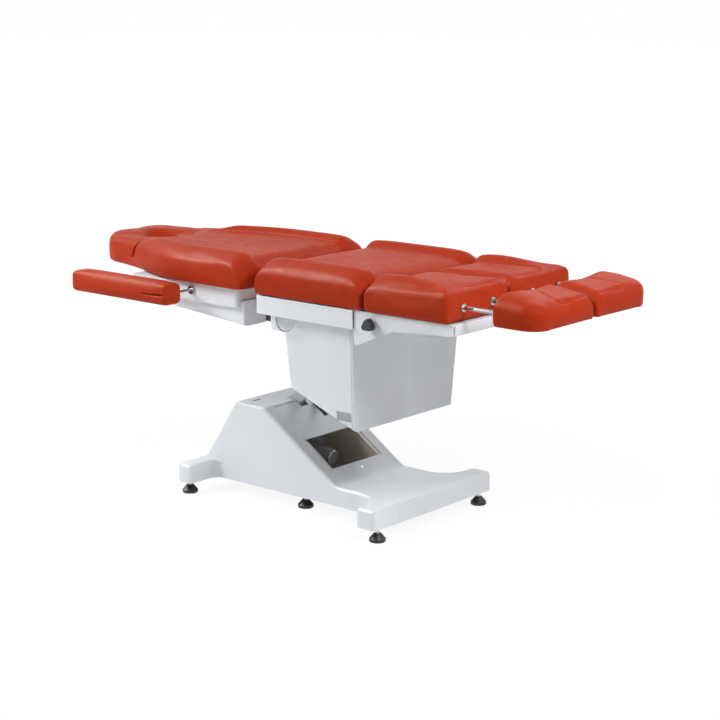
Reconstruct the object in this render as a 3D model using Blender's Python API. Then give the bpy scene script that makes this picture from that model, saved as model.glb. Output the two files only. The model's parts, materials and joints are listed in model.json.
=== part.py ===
import math

import bmesh
import bpy
from mathutils import Matrix, Vector

# Podiatry chair, in metres, +Z up, head end at -X, foot end at +X, near side at -Y.

for old in list(bpy.data.objects):
    bpy.data.objects.remove(old, do_unlink=True)

# Fits shared by neighbouring pieces
CLEAR = 0.0003
RUN_CLEAR = 0.0005
WALL = 0.004
PIN_SIDES = 16

# Overall reach of the upholstery
HEAD_END = -0.930
FOOT_END = 0.970

# Base shell
BASE_HALF_LENGTH = 0.412
FRONT_BEAM_DEPTH = 0.075
REAR_BEAM_DEPTH = 0.060
BEAM_HALF_WIDTH = 0.286
BASE_HALF_WIDTH = 0.166
BASE_BOTTOM = 0.042
BEAM_TOP = 0.102
TOWER_TOP = 0.303
TOWER_BACK = -0.269
TOWER_FRONT = -0.144
RAMP_FOOT = 0.155
FRONT_FILLET = 0.085
REAR_FILLET = 0.030
EDGE_ROUND = 0.010
BEAM_CORNER = 0.015
SLOT_HALF_WIDTH = 0.1215
SLOT_BACK = -0.1400
SLOT_FRONT = 0.100
ARM_SLOT_SIDE = 0.004
ARM_SLOT_BACK = -0.182

# Sliding cover in the ramp slot
COVER_LENGTH_X = 0.128
COVER_ARM_NOTCH = 0.024
COVER_LINK_NOTCH = 0.074

# Steel frame inside the base
RAIL_Y = 0.129
RAIL_WIDTH = 0.030
FRAME_BOTTOM = 0.046
RAIL_HEIGHT = 0.030
FLOOR_THICK = 0.006
CHEEK_IN = 0.026
CHEEK_OUT = 0.034
CHEEK_BACK = -0.255
CHEEK_FRONT = -0.165
SLIDE_RAIL_WIDTH = 0.012
CHEEK_TOP = 0.288
FRONT_BAR = 0.034
REAR_BAR = 0.030
SADDLE_LENGTH = 0.040

# Control socket in the tower top
SOCKET_PLACE = (-0.231, -0.105)
SOCKET_WIDTH = 0.009
SOCKET_LENGTH = 0.037
SOCKET_DEPTH = 0.012

# Levelling feet
FOOT_RADIUS = 0.025
FOOT_DISC = 0.010
FOOT_HUB_RADIUS = 0.011
FOOT_HUB_TOP = 0.026
FOOT_STUD_RADIUS = 0.006
FOOT_SIDE_INSET = 0.039
FOOT_END_Y = BEAM_HALF_WIDTH - FOOT_SIDE_INSET
FOOT_SIDES = 20
FOOT_INSET = 0.021
REAR_FOOT_INSET = 0.018

# Lifting parallelogram
ARM_PIVOT = (-0.200, 0.258)
LINK_PIVOT = (-0.225, 0.185)
ARM_LENGTH = 0.3918
ARM_ANGLE = 40.0
LIFT_RANGE = 30.0
ARM_HALF_Y = 0.013
ARM_HALF_HEIGHT = 0.017
LINK_IN = 0.040
LINK_OUT = 0.050
LINK_HALF_HEIGHT = 0.011
LIFT_PIN_RADIUS = 0.008
LINK_PIN_IN = 0.020
LINK_PIN_PROUD = 0.002
CRANK_LENGTH = 0.092
CRANK_ANGLE = 5.0
CRANK_RADIUS = 0.013
CRANK_SLOT_HALF = 0.006
CRANK_PIN_RADIUS = 0.006

# Lifting actuator
ACTUATOR_SLOPE = 10.0
ACTUATOR_RADIUS = 0.025
ACTUATOR_START = 0.060
ACTUATOR_LENGTH = 0.126
ACTUATOR_CAP = 0.012
ROD_RADIUS = 0.008
ROD_REACH = 0.150

# Column below the seat
COLUMN_FRONT_LOW = (0.295, 0.311)
COLUMN_FRONT_HIGH = 0.306
COLUMN_BACK_LOW = 0.045
COLUMN_BACK_HIGH = 0.023
COLUMN_TOP = 0.628
COLUMN_BOTTOM_SLOPE = 0.392
COLUMN_HALF_LOW = 0.231
COLUMN_HALF_HIGH = 0.256
COLUMN_ROUND = 0.010
COLUMN_OPEN_HALF = 0.150
COLUMN_OPEN_TOP = 0.580
COVER_DEPTH = 0.012
COVER_GROOVE = 0.0018
LUG_IN = 0.026
LUG_OUT = 0.036
FLANGE_HALF = 0.100
FLANGE_FRONT = 0.280
PLATE_X = 0.251
PLATE_Z = 0.352
PLATE_LENGTH = 0.056
PLATE_HEIGHT = 0.027
PLATE_SKIN = 0.001

# Seat
PLATE_THICK = 0.006
DECK_TOP = 0.690
SEAT_BACK = -0.054
SEAT_FRONT = 0.331
SKIRT_OVERHANG = 0.034
SKIRT_HALF_WIDTH = COLUMN_HALF_HIGH + SKIRT_OVERHANG
SKIRT_BOTTOM = 0.634
PAN_BOTTOM = 0.575
PAN_HALF_WIDTH = 0.235
SEAT_RAIL_Y = 0.165
SEAT_RAIL_WIDTH = 0.030
BRACKET_HEIGHT = 0.017
LIP_FRONT = 0.235
HOOK_BACK = 0.016
HOOK_FRONT = 0.082
HOOK_LOW = 0.5875
HOOK_STANDOFF = 0.017
HOOK_Y = COLUMN_HALF_HIGH + HOOK_STANDOFF
HOOK_WIRE = 0.0025

# Back section
BACK_PIVOT = (-0.190, 0.675)
BACK_HALF_WIDTH = 0.268
BACK_SHELL_HEAD = -0.620
BACK_SHELL_SEAT = -0.150
BACK_WEDGE_LOW = 0.577
BACK_WEDGE_SEAT = -0.134
BACK_BEND = -0.420
BACK_BEND_LOW = 0.600
BACK_HEAD_LOW = 0.616
BACK_WEDGE_HALF = 0.252
HINGE_Y = 0.145
HINGE_BRACKET = 0.020
HINGE_RADIUS = 0.011
HINGE_PIN_RADIUS = 0.006
KNUCKLE = 0.014

# Leg sections
LEG_PIVOT = (0.335, 0.672)
LEG_IN = 0.006
LEG_OUT = 0.284
LEG_END = 0.688
LEG_END_LOW = 0.657
LEG_BOTTOM_SLOPE = 0.141
LEG_SKIRT_LOW = 0.659
LEG_BOX_BACK = 0.470
LEG_BOX_OUT = 0.270
GUSSET_BACK = 0.333
GUSSET_LOW = 0.584
GUSSET_FRONT = 0.475
GUSSET_FRONT_LOW = 0.645
LEG_LUG_Y = (0.066, 0.222)
LEG_LUG_WIDTH = 0.012
KNOB_X = 0.400
KNOB_Z = 0.656
KNOB_IN = 0.292
KNOB_OUT = 0.312
KNOB_SIDE = 0.034
KNOB_LOBE = 0.009
KNOB_TURN = 90.0
KNOB_NECK_RADIUS = 0.007

# Sliding foot pads
PAD_ROD_INNER = 0.096
PAD_ROD_OUTER = 0.230
PAD_ROD_Y = (PAD_ROD_INNER, PAD_ROD_OUTER)
PAD_ROD_Z = 0.732
PAD_ROD_RADIUS = 0.006
PAD_ROD_BACK = 0.580
PAD_ROD_SINK = 0.090
GUIDE_RADIUS = 0.009
GUIDE_BACK = 0.440
GUIDE_FLANGE_RADIUS = 0.012
GUIDE_FLANGE = 0.004

# Cushions
CUSHION_HALF_WIDTH = 0.305
CREST = 0.110
PANEL = 0.091
CHANNEL = 0.003
CROWN = 0.003
TUCK = 0.007
CORNER = 0.018
ROLL_STEPS = (0.0, 0.08, 0.3, 0.62, 1.0)
PITCH = 0.055

# Seat cushion
SEAT_CUSHION_BACK = -0.056
SEAT_CUSHION_FRONT = 0.372
SEAT_BOLSTER = 0.115
SEAT_ROLL = 0.040

# Back cushion with its head part and face hole
BACK_CUSHION_SEAT = -0.110
BACK_BOLSTER = 0.095
BACK_ROLL = 0.050
HEAD_HALF_WIDTH = 0.178
HEAD_START = -0.360
HEAD_NECK = -0.830
HEAD_CURVE = -0.790
HEAD_TIP_HALF = 0.050
HEAD_CREST = 0.088
HEAD_PANEL = 0.083
HEAD_ROLL = 0.045
HOLE_X = -0.733
HOLE_LENGTH = 0.130
HOLE_WIDTH = 0.140
HOLE_FLARE = 0.030

# Leg cushions
LEG_CUSHION_BACK = 0.379
LEG_CUSHION_END = 0.6825
LEG_CUSHION_GAP = 0.004
LEG_INNER_CREST = 0.093
LEG_BOLSTER = 0.095
LEG_INNER_BOLSTER = 0.035
LEG_ROLL = 0.028

# Foot pads
PAD_BACK = 0.820
PAD_LOW = 0.700
PAD_IN = 0.008
PAD_OUT = 0.285
PAD_CREST = 0.097
PAD_INNER_CREST = 0.084
PAD_PANEL = 0.081
PAD_BOLSTER = 0.070
PAD_INNER_BOLSTER = 0.035
PAD_ROLL = 0.026
PAD_SWEEP = 0.060

# Armrests
ARMREST_PIVOT = (-0.347, 0.668)
ARMREST_ROD_RADIUS = 0.0045
ARMREST_ROD_IN = 0.250
ARMREST_ROD_OUT = 0.350
ARMREST_FLANGE_RADIUS = 0.015
ARMREST_FLANGE = 0.005
ARMREST_HEAD = -0.770
ARMREST_SEAT = -0.332
ARMREST_IN = 0.320
ARMREST_OUT = 0.400
ARMREST_LOW = 0.630
ARMREST_TOP = 0.702
ARMREST_CORNER = 0.018


# Finishes

def material(name, colour, roughness, metallic):
    finish = bpy.data.materials.new(name)
    finish.use_nodes = True
    shader = finish.node_tree.nodes["Principled BSDF"]
    shader.inputs["Base Color"].default_value = (*colour, 1.0)
    shader.inputs["Roughness"].default_value = roughness
    shader.inputs["Metallic"].default_value = metallic
    finish.diffuse_color = (*colour, 1.0)
    return finish


WHITE = material("white_gloss", (0.80, 0.82, 0.84), 0.25, 0.0)
LEATHER = material("red_leather", (0.56, 0.050, 0.018), 0.38, 0.0)
STEEL = material("painted_steel", (0.10, 0.10, 0.11), 0.5, 0.6)
BRIGHT = material("bright_steel", (0.62, 0.62, 0.63), 0.3, 1.0)
CHROME = material("chrome", (0.80, 0.80, 0.82), 0.08, 1.0)
BLACK = material("black_rubber", (0.012, 0.012, 0.013), 0.6, 0.0)
GREY = material("grey_plastic", (0.30, 0.31, 0.33), 0.45, 0.0)
SILVER = material("silver_plate", (0.55, 0.56, 0.57), 0.4, 0.8)


# Frames that carry the pieces

FRAMES = {}


def frame(name, parent, place):
    node = bpy.data.objects.new(name, None)
    bpy.context.collection.objects.link(node)
    place = Vector(place)
    if parent:
        node.parent = FRAMES[parent][0]
        node.location = place - FRAMES[parent][1]
        FRAMES[name] = (node, place)
    else:
        node.location = place
        FRAMES[name] = (node, Vector((0.0, 0.0, 0.0)))


def add(name, body, finish, carrier):
    node, origin = FRAMES[carrier]
    bmesh.ops.triangulate(body, faces=[f for f in body.faces if len(f.verts) > 4])
    bmesh.ops.translate(body, vec=-origin, verts=body.verts)
    mesh = bpy.data.meshes.new(name)
    body.to_mesh(mesh)
    body.free()
    mesh.shade_smooth()
    mesh.set_sharp_from_angle(angle=math.radians(35.0))
    piece = bpy.data.objects.new(name, mesh)
    bpy.context.collection.objects.link(piece)
    mesh.materials.append(finish)
    piece.parent = node
    return piece


# Outlines and solids

AXES = {
    "X": lambda u, v, w: (w, u, v),
    "Y": lambda u, v, w: (u, w, v),
    "Z": lambda u, v, w: (u, v, w),
}


def area(outline):
    pairs = zip(outline, outline[1:] + outline[:1])
    return 0.5 * sum(a[0] * b[1] - b[0] * a[1] for a, b in pairs)


def inset(outline, depth):
    points = outline if area(outline) > 0 else outline[::-1]
    moved = []
    for i, here in enumerate(points):
        before, after = points[i - 1], points[(i + 1) % len(points)]
        e1 = Vector((here[0] - before[0], here[1] - before[1])).normalized()
        e2 = Vector((after[0] - here[0], after[1] - here[1])).normalized()
        n1, n2 = Vector((-e1.y, e1.x)), Vector((-e2.y, e2.x))
        step = (n1 + n2) * (depth / (1.0 + n1.dot(n2)))
        moved.append((here[0] + step.x, here[1] + step.y))
    return moved


def rounded(corners, steps=5):
    points = []
    for i, (u, v, radius) in enumerate(corners):
        here = Vector((u, v))
        before = Vector(corners[i - 1][:2]) - here
        after = Vector(corners[(i + 1) % len(corners)][:2]) - here
        if radius <= 0.0:
            points.append((u, v))
            continue
        half = before.angle(after) / 2.0
        reach = radius / math.tan(half)
        centre = here + (before.normalized() + after.normalized()).normalized() * (radius / math.sin(half))
        start = here + before.normalized() * reach - centre
        end = here + after.normalized() * reach - centre
        turn = start.angle_signed(end)
        for k in range(steps + 1):
            spoke = start.copy()
            spoke.rotate(Matrix.Rotation(-turn * k / steps, 2))
            points.append(tuple(centre + spoke))
    return points


def circle(centre, radius, sides=PIN_SIDES):
    turns = [2.0 * math.pi * (k + 0.5) / sides for k in range(sides)]
    return [(centre[0] + radius * math.cos(t), centre[1] + radius * math.sin(t)) for t in turns]


def bar(start, end, radius, steps=8):
    heading = math.atan2(end[1] - start[1], end[0] - start[0])
    points = []
    for centre, first in ((end, heading - math.pi / 2), (start, heading + math.pi / 2)):
        for k in range(steps + 1):
            t = first + math.pi * k / steps
            points.append((centre[0] + radius * math.cos(t), centre[1] + radius * math.sin(t)))
    return points


def rectangle(u0, u1, v0, v1, radius=0.0, steps=4):
    return rounded([(u0, v0, radius), (u1, v0, radius), (u1, v1, radius), (u0, v1, radius)], steps)


def loft(rings):
    body = bmesh.new()
    loops = [[body.verts.new(p) for p in ring] for ring in rings]
    count = len(loops[0])
    for low, high in zip(loops, loops[1:]):
        for i in range(count):
            j = (i + 1) % count
            body.faces.new((low[i], low[j], high[j], high[i]))
    body.faces.new(loops[0][::-1])
    body.faces.new(loops[-1])
    bmesh.ops.recalc_face_normals(body, faces=body.faces)
    return body


def prism(outline, axis, low, high, ease_low=0.0, ease_high=0.0, steps=3):
    place = AXES[axis]
    stations = []
    for k in range(steps + 1 if ease_low else 1):
        t = math.pi / 2 * k / steps
        stations.append((ease_low * (1.0 - math.sin(t)), low + ease_low * (1.0 - math.cos(t))))
    for k in range(steps + 1 if ease_high else 1):
        t = math.pi / 2 * (1.0 - k / steps)
        stations.append((ease_high * (1.0 - math.sin(t)), high - ease_high * (1.0 - math.cos(t))))
    rings = []
    for depth, w in stations:
        ring = inset(outline, depth) if depth else outline
        rings.append([place(u, v, w) for u, v in (ring if area(ring) > 0 else ring[::-1])])
    return loft(rings)


def box(x0, x1, y0, y1, z0, z1):
    return prism(rectangle(x0, x1, y0, y1), "Z", z0, z1)


def round_bar(axis, centre, radius, low, high, sides=PIN_SIDES):
    return prism(circle(centre, radius, sides), axis, low, high)


def temporary(name, body):
    mesh = bpy.data.meshes.new(name)
    body.to_mesh(mesh)
    body.free()
    piece = bpy.data.objects.new(name, mesh)
    bpy.context.collection.objects.link(piece)
    return piece


def combine(first, second, operation):
    target, tool = temporary("target", first), temporary("tool", second)
    change = target.modifiers.new("combine", "BOOLEAN")
    change.operation = operation
    change.object = tool
    change.solver = "EXACT"
    result = bmesh.new()
    result.from_object(target, bpy.context.evaluated_depsgraph_get())
    for piece in (target, tool):
        mesh = piece.data
        bpy.data.objects.remove(piece, do_unlink=True)
        bpy.data.meshes.remove(mesh)
    return result


def union(body, *others):
    for other in others:
        body = combine(body, other, "UNION")
    return body


def cut(body, *tools):
    for tool in tools:
        body = combine(body, tool, "DIFFERENCE")
    return body


def both_sides(low, high):
    return ((-high, -low), (low, high))


# Base

MIDDLE = (HEAD_END + FOOT_END) / 2.0
frame("chair", None, (-MIDDLE, 0.0, 0.0))
frame("base", "chair", (0.0, 0.0, 0.0))

RAMP_SLOPE = (BEAM_TOP - TOWER_TOP) / (RAMP_FOOT - TOWER_FRONT)
RAMP_LENGTH = math.hypot(1.0, RAMP_SLOPE)
FRONT_BEAM_BACK = BASE_HALF_LENGTH - FRONT_BEAM_DEPTH
REAR_BEAM_FRONT = REAR_BEAM_DEPTH - BASE_HALF_LENGTH
SLOPE_FOOT = EDGE_ROUND - BASE_HALF_LENGTH
COVER_BACK = SLOT_BACK + RUN_CLEAR
COVER_FRONT = COVER_BACK + COVER_LENGTH_X


def ramp_z(x, depth=0.0):
    return TOWER_TOP + RAMP_SLOPE * (x - TOWER_FRONT) - depth * RAMP_LENGTH


def base_plan():
    half = [
        (-BASE_HALF_LENGTH, BEAM_HALF_WIDTH, BEAM_CORNER),
        (REAR_BEAM_FRONT, BEAM_HALF_WIDTH, BEAM_CORNER),
        (REAR_BEAM_FRONT, BASE_HALF_WIDTH, REAR_FILLET),
        (FRONT_BEAM_BACK, BASE_HALF_WIDTH, FRONT_FILLET),
        (FRONT_BEAM_BACK, BEAM_HALF_WIDTH, BEAM_CORNER),
        (BASE_HALF_LENGTH, BEAM_HALF_WIDTH, BEAM_CORNER),
    ]
    near = [(u, -v, r) for u, v, r in half]
    return rounded(near + half[::-1], 6)


def base_profile(bottom):
    return rounded([
        (SLOPE_FOOT, bottom, 0.0),
        (FRONT_BEAM_BACK + EDGE_ROUND, bottom, 0.0),
        (FRONT_BEAM_BACK + EDGE_ROUND, BEAM_TOP - CLEAR, 0.0),
        (RAMP_FOOT, BEAM_TOP - CLEAR, 5.0 * EDGE_ROUND),
        (TOWER_FRONT, TOWER_TOP, EDGE_ROUND),
        (TOWER_BACK, TOWER_TOP, EDGE_ROUND),
        (SLOPE_FOOT, BEAM_TOP, 0.0),
    ])


def base_shell():
    inner_round = EDGE_ROUND - WALL
    below = BASE_BOTTOM - 5.0 * WALL
    half = BASE_HALF_WIDTH + CLEAR
    body = union(
        prism(base_plan(), "Z", BASE_BOTTOM, BEAM_TOP, 0.0, EDGE_ROUND),
        prism(base_profile(BASE_BOTTOM + CLEAR), "Y", -half, half, EDGE_ROUND, EDGE_ROUND),
    )
    body = cut(
        body,
        prism(inset(base_plan(), WALL), "Z", below, BEAM_TOP - WALL, 0.0, inner_round),
        prism(inset(base_profile(below), WALL), "Y", WALL - half, half - WALL, inner_round, inner_round),
        box(SLOT_BACK, SLOT_FRONT, -SLOT_HALF_WIDTH, SLOT_HALF_WIDTH, BASE_BOTTOM, TOWER_TOP + WALL),
        box(ARM_SLOT_BACK, SLOT_BACK + WALL, -ARM_HALF_Y - ARM_SLOT_SIDE, ARM_HALF_Y + ARM_SLOT_SIDE,
            ramp_z(0.0), TOWER_TOP + WALL),
        box(*socket_sides(CLEAR), ramp_z(0.0), TOWER_TOP + WALL),
    )
    return body


def socket_sides(gap):
    x, y = SOCKET_PLACE
    return (x - SOCKET_WIDTH / 2 - gap, x + SOCKET_WIDTH / 2 + gap,
            y - SOCKET_LENGTH / 2 - gap, y + SOCKET_LENGTH / 2 + gap)


def ramp_plate(x0, x1, top, bottom):
    lean = (bottom - top) * RAMP_SLOPE / RAMP_LENGTH
    return [
        (x0, ramp_z(x0, top)),
        (x0 + lean, ramp_z(x0 + lean, bottom)),
        (x1 + lean, ramp_z(x1 + lean, bottom)),
        (x1, ramp_z(x1, top)),
    ]


def ramp_cover():
    half = SLOT_HALF_WIDTH - RUN_CLEAR
    body = prism(ramp_plate(COVER_BACK + WALL, COVER_FRONT, 0.0, WALL), "Y", -half, half)
    arm_notch = box(ARM_SLOT_BACK, SLOT_BACK + COVER_ARM_NOTCH, -ARM_HALF_Y - ARM_SLOT_SIDE,
                    ARM_HALF_Y + ARM_SLOT_SIDE, BEAM_TOP, TOWER_TOP + WALL)
    link_notch = box(ARM_SLOT_BACK, SLOT_BACK + COVER_LINK_NOTCH, LINK_IN - ARM_SLOT_SIDE,
                     LINK_OUT + ARM_SLOT_SIDE, BEAM_TOP, TOWER_TOP + WALL)
    return cut(body, arm_notch, link_notch)


def base_frame():
    inner_end = BASE_HALF_LENGTH - WALL - CLEAR
    bar_half = BEAM_HALF_WIDTH - BEAM_CORNER
    rail_top = FRAME_BOTTOM + RAIL_HEIGHT
    floor_low = FRAME_BOTTOM + FLOOR_THICK
    floor_high = floor_low + FLOOR_THICK
    slide_top = WALL + CLEAR
    body = box(inner_end - FRONT_BAR, inner_end, -bar_half, bar_half, FRAME_BOTTOM, rail_top)
    rear = box(-inner_end, REAR_BAR - inner_end, -bar_half, bar_half, FRAME_BOTTOM, rail_top)
    floor = box(CHEEK_BACK - WALL, SLOT_FRONT + RAIL_WIDTH, -RAIL_Y, RAIL_Y, floor_low, floor_high)
    slide_out = SLOT_HALF_WIDTH - RUN_CLEAR
    slide_back, slide_front = SLOT_BACK + WALL, SLOT_FRONT - WALL
    slide = [(slide_back, floor_low + WALL / 2), (slide_front, floor_low + WALL / 2),
             (slide_front, ramp_z(slide_front, slide_top)), (slide_back, ramp_z(slide_back, slide_top))]
    rails = []
    for side in (-1.0, 1.0):
        y = side * RAIL_Y
        rails.append(box(CLEAR - inner_end, inner_end - CLEAR, y - RAIL_WIDTH / 2, y + RAIL_WIDTH / 2,
                         FRAME_BOTTOM + CLEAR, rail_top - CLEAR))
    body = union(body, *rails)
    body = union(body, rear, floor)
    for low, high in both_sides(slide_out - SLIDE_RAIL_WIDTH, slide_out):
        body = union(body, prism(slide, "Y", low, high))
    for low, high in both_sides(CHEEK_IN, CHEEK_OUT):
        body = union(body, box(CHEEK_BACK, CHEEK_FRONT, low, high, floor_low + WALL / 2, CHEEK_TOP))
    saddle_x = CRANK_PIN[0] + ACTUATOR_START + SADDLE_LENGTH / 2
    body = union(body, box(saddle_x, saddle_x + SADDLE_LENGTH, -ACTUATOR_RADIUS, ACTUATOR_RADIUS,
                           floor_low + WALL / 2, actuator_z(saddle_x + SADDLE_LENGTH)))
    along = actuator_turn(round_bar("X", (0.0, 0.0), ACTUATOR_RADIUS + CLEAR, 0.0, 2 * ACTUATOR_LENGTH))
    wide = 2.0 * CHEEK_OUT
    return cut(
        body, along,
        round_bar("Y", ARM_PIVOT, LIFT_PIN_RADIUS + CLEAR, -wide, wide),
        round_bar("Y", LINK_PIVOT, LIFT_PIN_RADIUS + CLEAR, -wide, wide),
    )


# Lifting arms and actuator

def arm_point(start):
    angle = math.radians(ARM_ANGLE)
    return (start[0] + ARM_LENGTH * math.cos(angle), start[1] + ARM_LENGTH * math.sin(angle))


ARM_HEAD = arm_point(ARM_PIVOT)
LINK_HEAD = arm_point(LINK_PIVOT)
LINK_PIN_END = LINK_OUT + LINK_PIN_PROUD
CRANK_PIN = (ARM_PIVOT[0] + CRANK_LENGTH * math.sin(math.radians(CRANK_ANGLE)),
             ARM_PIVOT[1] - CRANK_LENGTH * math.cos(math.radians(CRANK_ANGLE)))


def actuator_z(x):
    return CRANK_PIN[1] - math.tan(math.radians(ACTUATOR_SLOPE)) * (x - CRANK_PIN[0])


def actuator_turn(body):
    turn = Matrix.Rotation(math.radians(ACTUATOR_SLOPE), 4, "Y")
    place = Matrix.Translation((CRANK_PIN[0], 0.0, CRANK_PIN[1]))
    bmesh.ops.transform(body, matrix=place @ turn, verts=body.verts)
    return body


def lift_arm():
    body = prism(bar(ARM_PIVOT, ARM_HEAD, ARM_HALF_HEIGHT), "Y", -ARM_HALF_Y, ARM_HALF_Y)
    crank = prism(bar(ARM_PIVOT, CRANK_PIN, CRANK_RADIUS), "Y", CLEAR - ARM_HALF_Y, ARM_HALF_Y - CLEAR)
    fork = 2.0 * CRANK_RADIUS
    slot = box(CRANK_PIN[0] - fork, CRANK_PIN[0] + fork, -CRANK_SLOT_HALF, CRANK_SLOT_HALF,
               CRANK_PIN[1] - fork, CRANK_PIN[1] + fork)
    wide = 2.0 * ARM_HALF_Y
    return cut(
        union(body, crank), slot,
        round_bar("Y", ARM_PIVOT, LIFT_PIN_RADIUS + CLEAR, -wide, wide),
        round_bar("Y", ARM_HEAD, LIFT_PIN_RADIUS + CLEAR, -wide, wide),
        round_bar("Y", CRANK_PIN, CRANK_PIN_RADIUS + CLEAR, -wide, wide),
    )


def lift_link(low, high):
    body = prism(bar(LINK_PIVOT, LINK_HEAD, LINK_HALF_HEIGHT), "Y", low, high)
    return cut(
        body,
        round_bar("Y", LINK_PIVOT, LIFT_PIN_RADIUS + CLEAR, low - WALL, high + WALL),
        round_bar("Y", LINK_HEAD, LIFT_PIN_RADIUS + CLEAR, low - WALL, high + WALL),
    )


def actuator_body():
    body = round_bar("X", (0.0, 0.0), ACTUATOR_RADIUS, ACTUATOR_START, ACTUATOR_START + ACTUATOR_LENGTH)
    bore = round_bar("X", (0.0, 0.0), ROD_RADIUS + RUN_CLEAR, 0.0, ROD_REACH + WALL)
    return actuator_turn(cut(body, bore))


def actuator_cap():
    start = ACTUATOR_START + ACTUATOR_LENGTH + CLEAR
    return actuator_turn(prism(circle((0.0, 0.0), ACTUATOR_RADIUS), "X", start, start + ACTUATOR_CAP,
                               0.0, ACTUATOR_CAP / 3))


def actuator_rod():
    half = CRANK_SLOT_HALF - RUN_CLEAR
    drop = CRANK_LENGTH * (1.0 - math.cos(math.radians(LIFT_RANGE / 2)))
    eye_radius = CRANK_PIN_RADIUS + drop + WALL
    neck = 2.0 * eye_radius
    eye = prism(bar((0.0, 0.0), (neck, 0.0), eye_radius / 1.5), "Y", -half, half)
    ring = prism(circle((0.0, 0.0), eye_radius), "Y", CLEAR - half, half - CLEAR)
    rod = round_bar("X", (0.0, 0.0), ROD_RADIUS, neck, ROD_REACH)
    slot = prism(bar((0.0, -drop), (0.0, 0.0), CRANK_PIN_RADIUS + RUN_CLEAR), "Y", -neck, neck)
    return actuator_turn(cut(union(eye, ring, rod), slot))


def pin(centre, radius, low, high):
    return round_bar("Y", centre, radius, low, high)


def foot(x, y):
    stud_top = FRAME_BOTTOM - CLEAR
    rings = []
    for radius, z in ((FOOT_RADIUS - WALL / 2, 0.0), (FOOT_RADIUS, WALL / 2), (FOOT_RADIUS, FOOT_DISC),
                      (FOOT_HUB_RADIUS, FOOT_HUB_TOP), (FOOT_STUD_RADIUS, FOOT_HUB_TOP),
                      (FOOT_STUD_RADIUS, stud_top)):
        rings.append([(u, v, z) for u, v in circle((x, y), radius, FOOT_SIDES)])
    return loft(rings)


frame("lift_pivot", "base", (ARM_PIVOT[0], 0.0, ARM_PIVOT[1]))
frame("link_pivot", "base", (LINK_PIVOT[0], 0.0, LINK_PIVOT[1]))
frame("rod_eye", "base", (CRANK_PIN[0], 0.0, CRANK_PIN[1]))
frame("cover_slide", "base", (COVER_BACK, 0.0, ramp_z(COVER_BACK)))
frame("column_pivot", "lift_pivot", (ARM_HEAD[0], 0.0, ARM_HEAD[1]))

add("base_shell", base_shell(), WHITE, "base")
add("base_frame", base_frame(), STEEL, "base")
add("ramp_cover", ramp_cover(), WHITE, "cover_slide")
add("control_socket", box(*socket_sides(0.0), TOWER_TOP - SOCKET_DEPTH, TOWER_TOP - CLEAR), BLACK, "base")
add("lift_arm", lift_arm(), WHITE, "lift_pivot")
add("lift_link", lift_link(LINK_IN, LINK_OUT), STEEL, "link_pivot")
add("actuator_body", actuator_body(), GREY, "base")
add("actuator_cap", actuator_cap(), SILVER, "base")
add("actuator_rod", actuator_rod(), BRIGHT, "rod_eye")
add("arm_pin_base", pin(ARM_PIVOT, LIFT_PIN_RADIUS, -CHEEK_OUT, CHEEK_OUT), BRIGHT, "base")
add("link_pin_base", pin(LINK_PIVOT, LIFT_PIN_RADIUS, LINK_PIN_IN, LINK_PIN_END), BRIGHT, "base")
add("crank_pin", pin(CRANK_PIN, CRANK_PIN_RADIUS, -ARM_HALF_Y, ARM_HALF_Y), BRIGHT, "lift_pivot")

FOOT_PLACES = {
    "foot_front": (BASE_HALF_LENGTH - FOOT_INSET, FOOT_END_Y),
    "foot_middle": (0.0, RAIL_Y),
    "foot_rear": (REAR_FOOT_INSET - BASE_HALF_LENGTH, FOOT_END_Y),
}
for label, (foot_x, foot_y) in FOOT_PLACES.items():
    add(label + "_near", foot(foot_x, -foot_y), BLACK, "base")
    add(label + "_far", foot(foot_x, foot_y), BLACK, "base")


# Column

PLATE_LOW = COLUMN_TOP + CLEAR
PLATE_HIGH = PLATE_LOW + PLATE_THICK


def column_ring(z, depth):
    part = (z - COLUMN_FRONT_LOW[1]) / (COLUMN_TOP - COLUMN_FRONT_LOW[1])
    front = COLUMN_FRONT_LOW[0] + part * (COLUMN_FRONT_HIGH - COLUMN_FRONT_LOW[0])
    back = COLUMN_BACK_LOW + part * (COLUMN_BACK_HIGH - COLUMN_BACK_LOW)
    half = COLUMN_HALF_LOW + part * (COLUMN_HALF_HIGH - COLUMN_HALF_LOW)
    outline = rectangle(back + depth, front - depth, depth - half, half - depth, COLUMN_ROUND - depth / 2)
    return [(u, v, z) for u, v in outline]


def column_solid(depth, low, high):
    return loft([column_ring(low, depth), column_ring(high, depth)])


def column_front_x(z):
    rise = COLUMN_TOP - COLUMN_FRONT_LOW[1]
    lean = (COLUMN_FRONT_HIGH - COLUMN_FRONT_LOW[0]) / rise
    return COLUMN_FRONT_LOW[0] + lean * (z - COLUMN_FRONT_LOW[1])


def column_side_y(z):
    rise = COLUMN_TOP - COLUMN_FRONT_LOW[1]
    return COLUMN_HALF_LOW + (COLUMN_HALF_HIGH - COLUMN_HALF_LOW) * (z - COLUMN_FRONT_LOW[1]) / rise


def column_slice(back_depth, front_depth):
    low, high = COLUMN_FRONT_LOW[1] - WALL, COLUMN_TOP + WALL
    outline = [(column_front_x(low) - back_depth, low), (column_front_x(low) - front_depth, low),
               (column_front_x(high) - front_depth, high), (column_front_x(high) - back_depth, high)]
    return prism(outline, "Y", -2.0 * COLUMN_HALF_HIGH, 2.0 * COLUMN_HALF_HIGH)


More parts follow.
